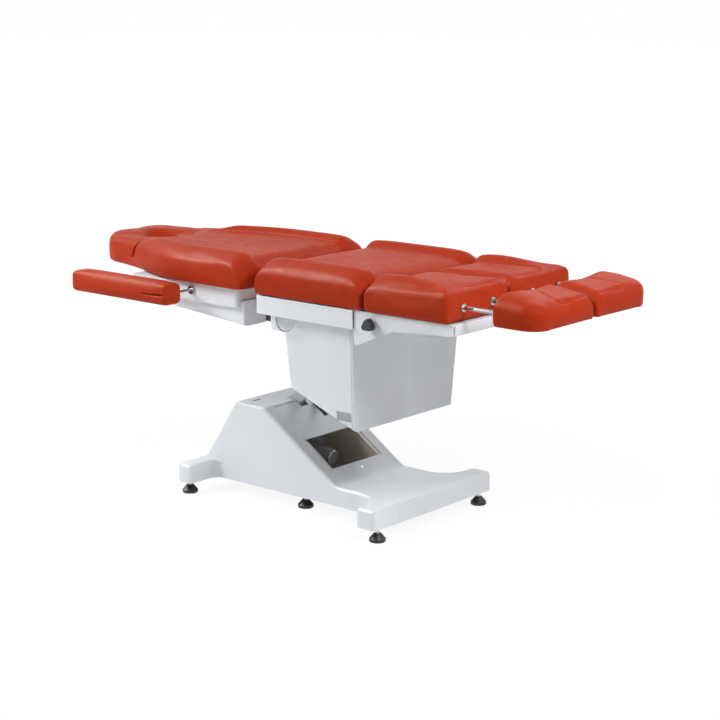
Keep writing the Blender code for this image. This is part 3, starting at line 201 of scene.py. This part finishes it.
def brushed(name, low, high, roughness, stretch):
    finish = Finish(name, Metallic=1.0)
    lines = finish.noise(160.0, 3.0, 0.6, stretch)
    finish.colour(finish.ramp(lines, (0.3, low), (0.7, high)))
    finish.roughness(finish.spread(lines, *roughness))
    finish.bump(lines, 0.0002, 0.1)
    return finish.material


def black_plastic():
    finish = Finish("black_moulded")
    finish.colour(finish.ramp(finish.noise(25.0, 4.0), (0.3, BLACK_LOW), (0.7, BLACK_HIGH)))
    finish.roughness(finish.spread(finish.noise(90.0), 0.4, 0.55))
    finish.bump(finish.noise(700.0, 2.0), 0.0003, 0.3)
    return finish.material


def levelling_foot():
    finish = Finish("levelling_foot")
    rise = finish.tree.nodes.new("ShaderNodeSeparateXYZ")
    finish.link(finish.place, rise.inputs["Vector"])
    stem = finish.spread(rise.outputs["Z"], 0.0, 1.0, STEM_FOOT)
    grain = finish.sum(stem, finish.noise(25.0, 4.0), 0.1)
    finish.colour(finish.ramp(grain, (0.03, BLACK_LOW), (0.07, BLACK_HIGH), (1.0, STEM_COLOUR)))
    finish.link(stem, finish.shader.inputs["Metallic"])
    finish.roughness(finish.spread(finish.noise(90.0), 0.3, 0.45))
    finish.bump(finish.noise(700.0, 2.0), 0.0003, 0.3)
    return finish.material


def grey_plastic():
    finish = Finish("grey_moulded")
    finish.colour(finish.ramp(finish.noise(20.0, 4.0), (0.3, GREY_LOW), (0.7, GREY_HIGH)))
    finish.roughness(finish.spread(finish.noise(90.0), 0.4, 0.52))
    finish.bump(finish.noise(600.0, 2.0), 0.0003, 0.25)
    return finish.material


WHITE = white_gloss()
PAINT = white_paint()
LEATHER = red_leather()
STEEL = painted_steel("dark_painted_steel", (0.09, 0.09, 0.095), (0.14, 0.14, 0.145))
# Painted light: a paler copy of the dark painted steel, whose raised colour stands in for light inside the
# ramp opening
PAINTED_LIGHT_STEEL = painted_steel("steel_with_painted_light", (0.64, 0.57, 0.50), (0.72, 0.65, 0.58))
BRIGHT = brushed("bright_steel", (0.50, 0.50, 0.51), (0.66, 0.66, 0.67), (0.22, 0.38), (1.0, 0.08, 1.0))
CHROME = brushed("chrome", (0.36, 0.36, 0.38), (0.52, 0.52, 0.54), (0.05, 0.11), (0.1, 1.0, 1.0))
BLACK = black_plastic()
GREY = grey_plastic()
FOOT = levelling_foot()
SILVER = brushed("silver_plate", (0.28, 0.29, 0.30), (0.36, 0.37, 0.38), (0.3, 0.45), (0.06, 1.0, 1.0))

BY_SLOT = {
    "white_gloss": WHITE, "white_paint": PAINT, "red_leather": LEATHER, "painted_steel": STEEL,
    "bright_steel": BRIGHT, "chrome": CHROME, "black_rubber": FOOT, "black_plastic": BLACK,
    "grey_plastic": GREY, "silver_plate": SILVER,
}

# Seen only through the opening in the ramp; painted light: the dark frame steel is given a paler colour
# there to stand in for light reaching the opening
BY_NODE = {"base_frame": PAINTED_LIGHT_STEEL}

for part in frame["record"]["subparts"]:
    finishes = NODES[part["node"]].data.materials
    finishes.clear()
    finishes.append(BY_NODE.get(part["node"], BY_SLOT[part["material_slot"]]))


# Light, floor and background

PURE_WHITE = (1.0, 1.0, 1.0, 1.0)
AMBIENT = 0.12
FLOOR_REACH = 30.0
FLOOR_GLOW = 1.05
GLOW_SHARE = (0.86, 1.0)
GLOW_FADE = (1.0, 2.2)

# Name, place, target, size and power of each lamp
LAMPS = (
    ("left", (-1.8, -1.9, 2.4), (0.0, 0.0, 0.5), (1.6, 1.2), 72.0),
    ("front", (2.7, -0.4, 2.5), (0.3, 0.0, 0.2), (1.0, 1.0), 68.0),
    ("back", (0.3, 2.2, 2.6), (0.0, 0.0, 0.5), (1.6, 1.2), 26.0),
    ("low", (-2.4, -1.6, 0.75), (-0.1, 0.0, 0.34), (0.9, 0.5), 5.0),
)
SHEEN_LAMP = ("sheen", (-2.2, -1.0, 2.9), (0.0, -0.2, 0.7), (1.0, 0.5), 310.0)


def seen_directly(tree):
    path = tree.nodes.new("ShaderNodeLightPath")
    shine = tree.nodes.new("ShaderNodeMath")
    shine.operation = "MAXIMUM"
    seen = tree.nodes.new("ShaderNodeMath")
    seen.operation = "MAXIMUM"
    tree.links.new(path.outputs["Is Glossy Ray"], shine.inputs[0])
    tree.links.new(path.outputs["Is Transmission Ray"], shine.inputs[1])
    tree.links.new(shine.outputs["Value"], seen.inputs[0])
    tree.links.new(path.outputs["Is Camera Ray"], seen.inputs[1])
    return seen.outputs["Value"]


def make_world(strength):
    world = bpy.data.worlds.new("studio")
    world.use_nodes = True
    tree = world.node_tree
    tree.nodes.clear()
    soft = tree.nodes.new("ShaderNodeBackground")
    soft.inputs["Color"].default_value = PURE_WHITE
    soft.inputs["Strength"].default_value = strength
    white = tree.nodes.new("ShaderNodeBackground")
    white.inputs["Color"].default_value = PURE_WHITE
    white.inputs["Strength"].default_value = 1.0
    mix = tree.nodes.new("ShaderNodeMixShader")
    out = tree.nodes.new("ShaderNodeOutputWorld")
    tree.links.new(seen_directly(tree), mix.inputs["Fac"])
    tree.links.new(soft.outputs["Background"], mix.inputs[1])
    tree.links.new(white.outputs["Background"], mix.inputs[2])
    tree.links.new(mix.outputs["Shader"], out.inputs["Surface"])
    bpy.context.scene.world = world


def make_floor():
    mesh = bpy.data.meshes.new("floor")
    corners = ((-1.0, -1.0), (1.0, -1.0), (1.0, 1.0), (-1.0, 1.0))
    mesh.from_pydata([(FLOOR_REACH * x, FLOOR_REACH * y, 0.0) for x, y in corners], [], [(0, 1, 2, 3)])
    floor = bpy.data.objects.new("floor", mesh)
    bpy.context.scene.collection.objects.link(floor)
    finish = Finish("pale_floor", Roughness=0.9, Specular_IOR_Level=0.1)
    finish.colour(finish.ramp(finish.noise(2.0), (0.0, (0.86, 0.86, 0.86)), (1.0, (0.90, 0.90, 0.90))))
    tree = finish.tree
    glow = tree.nodes.new("ShaderNodeEmission")
    glow.inputs["Color"].default_value = PURE_WHITE
    glow.inputs["Strength"].default_value = FLOOR_GLOW
    away = tree.nodes.new("ShaderNodeVectorMath")
    away.operation = "LENGTH"
    tree.links.new(finish.place, away.inputs[0])
    fade = finish.spread(away.outputs["Value"], *GLOW_SHARE, GLOW_FADE)
    share = tree.nodes.new("ShaderNodeMath")
    share.operation = "MULTIPLY"
    tree.links.new(seen_directly(tree), share.inputs[0])
    tree.links.new(fade, share.inputs[1])
    mix = tree.nodes.new("ShaderNodeMixShader")
    tree.links.new(share.outputs["Value"], mix.inputs["Fac"])
    tree.links.new(finish.shader.outputs["BSDF"], mix.inputs[1])
    tree.links.new(glow.outputs["Emission"], mix.inputs[2])
    tree.links.new(mix.outputs["Shader"], tree.nodes["Material Output"].inputs["Surface"])
    mesh.materials.append(finish.material)


def lamp(name, place, target, size, power):
    data = bpy.data.lights.new(name, "AREA")
    data.shape = "RECTANGLE"
    data.size, data.size_y = size
    data.energy = power
    light = bpy.data.objects.new(name, data)
    bpy.context.scene.collection.objects.link(light)
    light.location = place
    aim = Vector(target) - Vector(place)
    light.rotation_euler = aim.to_track_quat("-Z", "Y").to_euler()
    light.visible_camera = False
    return light


make_world(AMBIENT)
make_floor()
for row in LAMPS:
    lamp(*row)
lamp(*SHEEN_LAMP).visible_diffuse = False
bpy.context.scene.view_settings.view_transform = "Standard"


# Soft goods: the shape of each cushion, with X from the chair's own origin

LOW = 0.6903
DECK_SHIFT = -0.02
TUCK = 0.007
LEAST_HEIGHT = 0.02

# Distance from the edge, and share of the cushion's full height there

SIDE_PROFILE = ((0.0, 0.60), (0.004, 0.69), (0.011, 0.755), (0.020, 0.80), (0.036, 0.875), (0.052, 0.95),
                (0.066, 0.99), (0.076, 1.0), (0.088, 0.985), (0.104, 0.90), (0.116, 0.845), (0.125, 0.83))
EDGE_PROFILE = ((0.0, 0.72), (0.004, 0.83), (0.010, 0.91), (0.018, 0.965), (0.028, 1.0), (0.040, 1.0))
LEG_PROFILE = ((0.0, 0.79), (0.004, 0.885), (0.010, 0.945), (0.018, 0.98), (0.028, 1.0), (0.040, 1.0))
FOOT_PROFILE = ((0.0, 0.62), (0.03, 0.71), (0.08, 0.80), (0.18, 0.92), (0.30, 0.980), (0.40, 0.995),
                (0.62, 0.985), (0.86, 0.950), (1.0, 0.935))


def profile(table, distance, scale=1.0):
    places, heights = zip(*table)
    return np.interp(distance / scale, places, heights)


def rolled(distance, radius):
    d = np.clip(distance, 0.0, radius)
    return radius - np.sqrt(radius ** 2 - (radius - d) ** 2)


def sagged(distance, reach=0.120):
    return (1.0 - np.clip(distance / reach, 0.0, 1.0)) ** 2


def eased(start, end, x):
    t = np.clip((x - start) / (end - start), 0.0, 1.0)
    return t * t * (3.0 - 2.0 * t)


def corner_distance(first, second, radius):
    inside = np.hypot(np.maximum(radius - first, 0.0), np.maximum(radius - second, 0.0))
    return np.where(inside > 0.0, radius - inside, np.minimum(first, second))


class Pad:
    low = LOW
    groove = 0.0030
    crest = 0.110
    corners = (0.016, 0.016)
    rolls = (0.038, 0.038)
    crowns = (0.008, 0.008)

    def sides(self, x):
        y0, y1 = self.span(x)
        pull = rolled(x - self.start, self.corners[0]) + rolled(self.end - x, self.corners[1])
        return y0 + pull, y1 - pull

    def edges(self, x, y):
        y0, y1 = self.sides(x)
        return y - y0, y1 - y, x - self.start, self.end - x

    def drop(self, back, front):
        crown = self.crowns[0] * sagged(back) + self.crowns[1] * sagged(front)
        return crown + np.hypot(rolled(back, self.rolls[0]), rolled(front, self.rolls[1]))

    def height(self, x, y):
        near, far, back, front = self.edges(x, y)
        return np.maximum(self.form(x, y, near, far, front) - self.drop(back, front), LEAST_HEIGHT)


class SeatPad(Pad):
    start, end = -0.058, 0.373
    seam_at = 0.116
    half_width = 0.305
    swell, swell_rate = 0.003, 5.0

    def span(self, x):
        return -self.half_width, self.half_width

    def form(self, x, y, near, far, front):
        swelling = self.swell * np.cos(self.swell_rate * y)
        return self.crest * profile(SIDE_PROFILE, np.minimum(near, far)) + swelling

    def seam(self, x, y):
        near, far, back, front = self.edges(x, y)
        return np.minimum(near, far) - self.seam_at


class BackPad(Pad):
    start, end = -0.930, -0.106
    seam_at = 0.112
    neck = -0.664
    rolls = (0.040, 0.054)
    crowns = (0.0, 0.006)
    corners = (0.0, 0.018)
    hole = (-0.735, 0.060, 0.068)
    head_half, widening, least_half = 0.178, 0.127, 0.030
    taper = (-0.830, -0.360)
    round_start, round_length = -0.790, 0.140
    rise = (0.008, 0.100)
    head_crest, head_scale = 0.094, 1.2
    flare_radius, flare_share = 0.046, 0.72
    seam_start = 0.03

    def half(self, x):
        wide = self.head_half + self.widening * eased(*self.taper, x)
        part = np.clip((self.round_start - x) / self.round_length, 0.0, 1.0)
        return np.maximum(self.least_half, wide * np.sqrt(1.0 - part ** 2))

    def span(self, x):
        return -self.half(x), self.half(x)

    def form(self, x, y, near, far, front):
        side = np.minimum(near, far)
        lift = eased(self.neck + self.rise[0], self.neck + self.rise[1], x)
        head = self.head_crest * profile(EDGE_PROFILE, side, self.head_scale)
        body = self.crest * profile(SIDE_PROFILE, side)
        flare = rolled(self.hole_distance(x, y), self.flare_radius)
        return head + (body - head) * lift - self.flare_share * flare

    def hole_distance(self, x, y):
        middle, length, width = self.hole
        reach = np.hypot((x - middle) / length, y / width)
        return (reach - 1.0) * 0.5 * (length + width)

    def seam(self, x, y):
        near, far, back, front = self.edges(x, y)
        side = np.minimum(near, far) - self.seam_at
        return np.where(x > self.neck + self.seam_start, side, 1.0)


class LegPad(Pad):
    start, end = 0.377, 0.6825
    inside, outside = 0.004, 0.305
    rolls = (0.024, 0.026)
    corners = (0.010, 0.014)
    table, table_seam = SIDE_PROFILE, 0.116
    sweep = 0.014
    hem = 0.024
    turn = 0.038
    rim_table = LEG_PROFILE
    reach, stop = 0.220, 0.0
    panel = 0.0965
    fall = 0.0
    strip_width = 0.112

    def span(self, x):
        return self.inside, self.outside

    def strip(self, x):
        return self.strip_width

    def drop(self, back, front):
        return rolled(back, self.rolls[0]) + self.crowns[0] * sagged(back)

    def form(self, x, y, near, far, front):
        rim = np.maximum(corner_distance(self.outside - y, front, self.sweep), 0.0)
        seam = self.seam(x, y)
        share = rim / np.maximum(rim + np.maximum(-seam, 0.0), 1e-6)
        outer = self.crest * profile(self.table, self.table_seam * share + np.maximum(seam, 0.0))
        plain = self.panel * profile(self.rim_table, rim)
        top = outer + (plain - outer) * eased(self.reach, self.stop, front)
        top = top - self.fall * (x - self.start) / (self.end - self.start)
        return top - self.panel * (1.0 - profile(EDGE_PROFILE, near))

    def seam(self, x, y):
        return corner_distance(self.outside - y - self.strip(x), self.end - x - self.hem, self.turn)


class FootPad(LegPad):
    start, end = 0.818, 0.971
    inside, outside = 0.006, 0.287
    low = 0.700
    groove = 0.0016
    crest = 0.097
    rolls = (0.018, 0.022)
    corners = (0.010, 0.0)
    table, table_seam = FOOT_PROFILE, 1.0
    crowns = (0.0, 0.0)
    sweep = 0.060
    hem = 0.018
    turn = 0.030
    rim_table = EDGE_PROFILE
    reach, stop = 0.100, 0.018
    panel = 0.088
    fall = 0.014
    inner_corner = 0.010
    strip_width, strip_from, strip_slope = 0.165, 0.83, 0.42

    def span(self, x):
        front = self.end - x
        return self.inside + rolled(front, self.inner_corner), self.outside - rolled(front, self.sweep)

    def strip(self, x):
        return self.strip_width - self.strip_slope * (x - self.strip_from)


# Share of the tuck and share of the height, from the underside up

WALLS = ((1.0, 0.0), (0.3, 0.15), (0.0, 0.45), (-0.05, 0.8))
WIDTH_POINTS = 72
RING_PITCH = 0.006
END_RINGS = 9
END_LEAST = 0.02


def section(pad, x):
    y0, y1 = (float(v) for v in pad.sides(np.array(x)))
    turn = np.linspace(0.0, np.pi, WIDTH_POINTS)
    across = y0 + (y1 - y0) * 0.5 * (1.0 - np.cos(turn))
    top = pad.height(np.full_like(across, x), across)
    wall = [(y0 + TUCK * s, top[0] * h) for s, h in WALLS]
    ring = wall + list(zip(across, top))
    ring += [(y1 - TUCK * s, top[-1] * h) for s, h in WALLS[::-1]]
    return np.array(ring)


def end_ring(pad, end, share, height):
    x = pad.start + TUCK * share if end == pad.start else pad.end - TUCK * share
    return x, section(pad, end) * (1.0, max(height, END_LEAST))


def lofted(pad):
    turn = np.linspace(0.0, 1.0, END_RINGS)
    roll0, roll1 = pad.rolls
    inner = np.arange(pad.start + roll0, pad.end - roll1, RING_PITCH)[1:]
    places = np.concatenate([pad.start + roll0 * turn ** 2, inner, pad.end - roll1 * turn[::-1] ** 2])
    rings = [end_ring(pad, pad.start, *wall) for wall in WALLS[:3]]
    rings += [(x, section(pad, x)) for x in places]
    rings += [end_ring(pad, pad.end, *wall) for wall in WALLS[2::-1]]
    return rings


def pad_mesh(name, pad, side):
    rings = lofted(pad)
    count = len(rings[0][1])
    body = bmesh.new()
    rows = []
    for x, ring in rings:
        rows.append([body.verts.new((x + DECK_SHIFT, side * y, pad.low + max(z, 0.0))) for y, z in ring])
    for first, second in zip(rows, rows[1:]):
        for k in range(count):
            body.faces.new((first[k], first[(k + 1) % count], second[(k + 1) % count], second[k]))
    body.faces.new(rows[0])
    body.faces.new(rows[-1])
    bmesh.ops.recalc_face_normals(body, faces=body.faces)
    mesh = bpy.data.meshes.new(name)
    body.to_mesh(mesh)
    body.free()
    return mesh


# Soft goods: remesh, fill and detail

PRESSURE = 4.0
FRAMES = 20
HELD_SHARE = 0.6
SOFTEN_ROUNDS = 2
EVEN_ROUNDS = 8
TINY = 1e-9


def piece(name, mesh, finish, body):
    mesh.materials.clear()
    mesh.materials.append(finish)
    mesh.shade_smooth()
    made = bpy.data.objects.new(name, mesh)
    bpy.context.scene.collection.objects.link(made)
    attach(made, body)
    return made


def apply_all(target):
    bpy.context.view_layer.objects.active = target
    for modifier in list(target.modifiers):
        bpy.ops.object.modifier_apply(modifier=modifier.name)


def points_of(mesh):
    flat = np.zeros(len(mesh.vertices) * 3, np.float32)
    mesh.vertices.foreach_get("co", flat)
    return flat.reshape(-1, 3).astype(float)


def normals_of(mesh):
    flat = np.zeros(len(mesh.vertices) * 3, np.float32)
    mesh.vertex_normals.foreach_get("vector", flat)
    return flat.reshape(-1, 3).astype(float)


def put_points(mesh, points):
    mesh.vertices.foreach_set("co", points.astype(np.float32).ravel())
    mesh.update()


def tube(axis, centre, radius, low, high, sides=32):
    body = bmesh.new()
    bmesh.ops.create_cone(body, cap_ends=True, segments=sides, radius1=radius, radius2=radius,
                          depth=high - low)
    if axis == "X":
        turn = Matrix.Rotation(math.pi / 2, 4, "Y")
        place = Matrix.Translation(((low + high) / 2, centre[0], centre[1]))
    elif axis == "Y":
        turn = Matrix.Rotation(math.pi / 2, 4, "X")
        place = Matrix.Translation((centre[0], (low + high) / 2, centre[1]))
    else:
        turn = Matrix.Identity(4)
        place = Matrix.Translation((centre[0], centre[1], (low + high) / 2))
    bmesh.ops.transform(body, matrix=place @ turn, verts=body.verts)
    mesh = bpy.data.meshes.new("tube")
    body.to_mesh(mesh)
    body.free()
    return mesh


def cut_out(target, cutters):
    for cutter in cutters:
        tool = bpy.data.objects.new("tool", cutter)
        bpy.context.scene.collection.objects.link(tool)
        modifier = target.modifiers.new("cut", "BOOLEAN")
        modifier.operation = "DIFFERENCE"
        modifier.object = tool
        apply_all(target)
        bpy.data.objects.remove(tool)


def inflate(work, floor_z, voxel):
    scene = bpy.context.scene
    held = work.vertex_groups.new(name="held")
    resting = [v.index for v in work.data.vertices if v.co.z < floor_z + HELD_SHARE * voxel]
    held.add(resting, 1.0, "REPLACE")
    cloth = work.modifiers.new("cloth", "CLOTH")
    settings = cloth.settings
    settings.quality = 4
    settings.mass = 0.35
    settings.tension_stiffness = 20.0
    settings.compression_stiffness = 20.0
    settings.shear_stiffness = 10.0
    settings.bending_stiffness = 2.0
    settings.use_pressure = True
    settings.uniform_pressure_force = PRESSURE
    settings.effector_weights.gravity = 0.0
    settings.vertex_group_mass = "held"
    cloth.collision_settings.use_collision = False
    cloth.collision_settings.use_self_collision = False
    cloth.point_cache.frame_start = 1
    cloth.point_cache.frame_end = FRAMES
    for step in range(1, FRAMES + 1):
        scene.frame_set(step)
    apply_all(work)
    scene.frame_set(1)


def remeshed(work, voxel):
    even = work.modifiers.new("even", "REMESH")
    even.mode = "VOXEL"
    even.voxel_size = voxel
    apply_all(work)


def evened(mesh, field):
    pairs = np.zeros(len(mesh.edges) * 2, np.int32)
    mesh.edges.foreach_get("vertices", pairs)
    first, second = pairs.reshape(-1, 2).T
    count = np.maximum(np.bincount(pairs, minlength=len(field)), 1)[:, None]
    for _ in range(EVEN_ROUNDS):
        total = np.zeros_like(field)
        np.add.at(total, first, field[second])
        np.add.at(total, second, field[first])
        field = 0.5 * (field + total / count)
    return field


def stuffed(mesh, voxel, shrink, cap, holes=()):
    low = min(v.co.z for v in mesh.vertices)
    work = bpy.data.objects.new(mesh.name, mesh)
    bpy.context.scene.collection.objects.link(work)
    remeshed(work, voxel)
    if holes:
        cut_out(work, holes)
        remeshed(work, voxel)
    smooth = work.modifiers.new("soften", "SMOOTH")
    smooth.iterations = SOFTEN_ROUNDS
    smooth.factor = 0.5
    apply_all(work)
    start = points_of(work.data) - shrink * normals_of(work.data)
    start[:, 2] = np.maximum(start[:, 2], low)
    put_points(work.data, start)
    inflate(work, low, voxel)
    step = points_of(work.data) - start
    reach = np.linalg.norm(step, axis=1, keepdims=True)
    start = start + evened(work.data, step * np.minimum(1.0, cap / np.maximum(reach, TINY)))
    start[:, 2] = np.maximum(start[:, 2], low)
    put_points(work.data, start)
    fine = work.modifiers.new("fine", "SUBSURF")
    fine.levels = fine.render_levels = 1
    apply_all(work)
    return work


SEAM_WIDTH = 0.0036
SEAM_DISH, SEAM_SPREAD = 0.0008, 0.012
PUCKER, PUCKER_REACH = 0.0004, 0.012
PUCKER_SKEW, PUCKER_RATE = 0.37, 190.0
PUCKER_DRIFT, DRIFT_RATE = 2.0, 37.0
TOP_FROM, TOP_FADE = 0.45, 0.2


def creases(points, pad, side):
    x, y = points[:, 0] - DECK_SHIFT, points[:, 1] * side
    top = np.clip((points[:, 2] - pad.low - TOP_FROM * pad.crest) / (TOP_FADE * pad.crest), 0.0, 1.0)
    away = pad.seam(x, y)
    groove = pad.groove * np.exp(-(away / SEAM_WIDTH) ** 2) + SEAM_DISH * np.exp(-(away / SEAM_SPREAD) ** 2)
    along = x + PUCKER_SKEW * y
    wave = np.sin(along * PUCKER_RATE + PUCKER_DRIFT * np.sin(along * DRIFT_RATE))
    pucker = wave * np.exp(-(np.abs(away) / PUCKER_REACH))
    points[:, 2] -= top * (groove + PUCKER * pucker)
    return points


PLEAT_DEPTH, PLEAT_WIDTH = 0.013, 0.0038
PLEAT_BACK, PLEAT_LEAN, PLEAT_MIDDLE = 0.019, 0.18, 0.75
PLEAT_LOW, PLEAT_LOW_FADE = 0.722, 0.010
PLEAT_HIGH, PLEAT_HIGH_FADE = 0.782, 0.012
RIM_REACH, RIM_FADE = 0.075, 0.03
DIMPLE_DEPTH, DIMPLE_WIDTH, DIMPLE_BACK = 0.002, 0.020, 0.015
DIMPLE_LOW, DIMPLE_FADE = 0.700, 0.03


def neck_pleat(points, pad):
    x, y, z = points[:, 0] - DECK_SHIFT, points[:, 1], points[:, 2]
    rim = np.clip((np.abs(y) - pad.half(x) + RIM_REACH) / RIM_FADE, 0.0, 1.0)
    lean = PLEAT_LEAN * (z - PLEAT_MIDDLE)
    band = np.exp(-((x - pad.neck + PLEAT_BACK - lean) / PLEAT_WIDTH) ** 2)
    above = np.clip((z - PLEAT_LOW) / PLEAT_LOW_FADE, 0.0, 1.0)
    below = np.clip((PLEAT_HIGH - z) / PLEAT_HIGH_FADE, 0.0, 1.0)
    points[:, 1] -= np.sign(y) * PLEAT_DEPTH * band * rim * (above * below)
    dimple = np.exp(-((x - pad.neck + DIMPLE_BACK) / DIMPLE_WIDTH) ** 2)
    dimple = dimple * rim * np.clip((z - DIMPLE_LOW) / DIMPLE_FADE, 0.0, 1.0)
    points[:, 1] -= np.sign(y) * DIMPLE_DEPTH * dimple
    return points


def make_pad(node, body, pad, side, fit, holes=(), bores=()):
    work = stuffed(pad_mesh(node + "_soft", pad, side), *fit, holes)
    points = creases(points_of(work.data), pad, side)
    if node == "back_cushion":
        points = neck_pleat(points, pad)
    put_points(work.data, points)
    cut_out(work, bores)
    finish_pad(work, node, body)


def finish_pad(work, node, body):
    mesh = work.data
    bpy.data.objects.remove(work)
    made = piece(node + "_soft", mesh, LEATHER, body)
    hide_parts(node)


ROD_Y = (0.096, 0.230)
ROD_Z = 0.732
GUIDE_BORE, GUIDE_SPAN = 0.0093, (0.44, 0.70)
ROD_BORE, ROD_SPAN = 0.0063, (0.80, 0.91)
OPENING_SPAN, OPENING_SIDES = (0.60, 0.90), 64

# Voxel size, shrink before filling and greatest swell of each kind of cushion
BACK_FIT = (0.0060, 0.003, 0.0045)
SEAT_FIT = (0.0055, 0.003, 0.0045)
LEG_FIT = (0.0050, 0.0025, 0.004)
FOOT_FIT = (0.0045, 0.0025, 0.004)
ARMREST_FIT = (0.0045, 0.0025, 0.0045)


def face_opening(pad):
    middle, length, width = pad.hole
    mesh = tube("Z", (0.0, 0.0), 1.0, *OPENING_SPAN, OPENING_SIDES)
    points = points_of(mesh) * (length, width, 1.0) + (middle + DECK_SHIFT, 0.0, 0.0)
    put_points(mesh, points)
    return mesh


def rod_bores(side, radius, span):
    low, high = span[0] + DECK_SHIFT, span[1] + DECK_SHIFT
    return [tube("X", (side * y, ROD_Z), radius, low, high) for y in ROD_Y]


SLIT_DEPTH, SLIT_WIDTH = 0.011, 0.0024
SLIT_START, SLIT_END = (-0.442, -0.410), (-0.352, -0.338)
SLIT_Z, SLIT_SLOPE, SLIT_MIDDLE = 0.6645, 0.03, 0.39
SLIT_FACE, SLIT_FACE_FADE = 0.385, 0.008


def slit(points, out):
    x, z = points[:, 0] - DECK_SHIFT, points[:, 2]
    run = eased(*SLIT_START, x) * (1.0 - eased(*SLIT_END, x))
    line = SLIT_Z + SLIT_SLOPE * (x + SLIT_MIDDLE)
    face = np.clip((points[:, 1] * out - SLIT_FACE) / SLIT_FACE_FADE, 0.0, 1.0)
    points[:, 1] -= out * SLIT_DEPTH * run * face * np.exp(-((z - line) / SLIT_WIDTH) ** 2)
    return points


def make_armrest(label, side):
    node = "armrest_pad_" + label
    work = stuffed(NODES[node].data.copy(), *ARMREST_FIT)
    put_points(work.data, slit(points_of(work.data), side))
    finish_pad(work, node, "armrest_" + label)


def make_cushions():
    back = BackPad()
    make_pad("back_cushion", "back", back, 1.0, BACK_FIT, [face_opening(back)])
    make_pad("seat_cushion", "seat_unit", SeatPad(), 1.0, SEAT_FIT)
    for label, side in (("near", -1.0), ("far", 1.0)):
        bores = rod_bores(side, GUIDE_BORE, GUIDE_SPAN)
        make_pad("leg_cushion_" + label, "leg_" + label, LegPad(), side, LEG_FIT, (), bores)
        bores = rod_bores(side, ROD_BORE, ROD_SPAN)
        make_pad("foot_pad_" + label, "foot_pad_" + label, FootPad(), side, FOOT_FIT, (), bores)
        make_armrest(label, side)


make_cushions()


# Small screws in the base

# Place of each head and the way it faces
SCREWS = (
    ((0.412, -0.179, 0.071), (1.0, 0.0, 0.0)),
    ((0.412, 0.157, 0.077), (1.0, 0.0, 0.0)),
    ((0.1215, 0.0, 0.1245), (0.558, 0.0, 0.830)),
)
HEAD_RADII, HEAD_DEPTH, HEAD_LIFT = (0.0042, 0.0030), 0.0012, 0.0007
HEAD_SIDES = 24


def make_screws():
    for count, (place, out) in enumerate(SCREWS, 1):
        body = bmesh.new()
        bmesh.ops.create_cone(body, cap_ends=True, segments=HEAD_SIDES, radius1=HEAD_RADII[0],
                              radius2=HEAD_RADII[1], depth=HEAD_DEPTH)
        turn = Vector(out).to_track_quat("Z", "Y").to_matrix().to_4x4()
        middle = Vector(place) + Vector((DECK_SHIFT, 0.0, 0.0)) + HEAD_LIFT * Vector(out)
        bmesh.ops.transform(body, matrix=Matrix.Translation(middle) @ turn, verts=body.verts)
        mesh = bpy.data.meshes.new("screw")
        body.to_mesh(mesh)
        body.free()
        made = piece("base_screw_%d" % count, mesh, BRIGHT, "base")
        made.data.shade_flat()


make_screws()
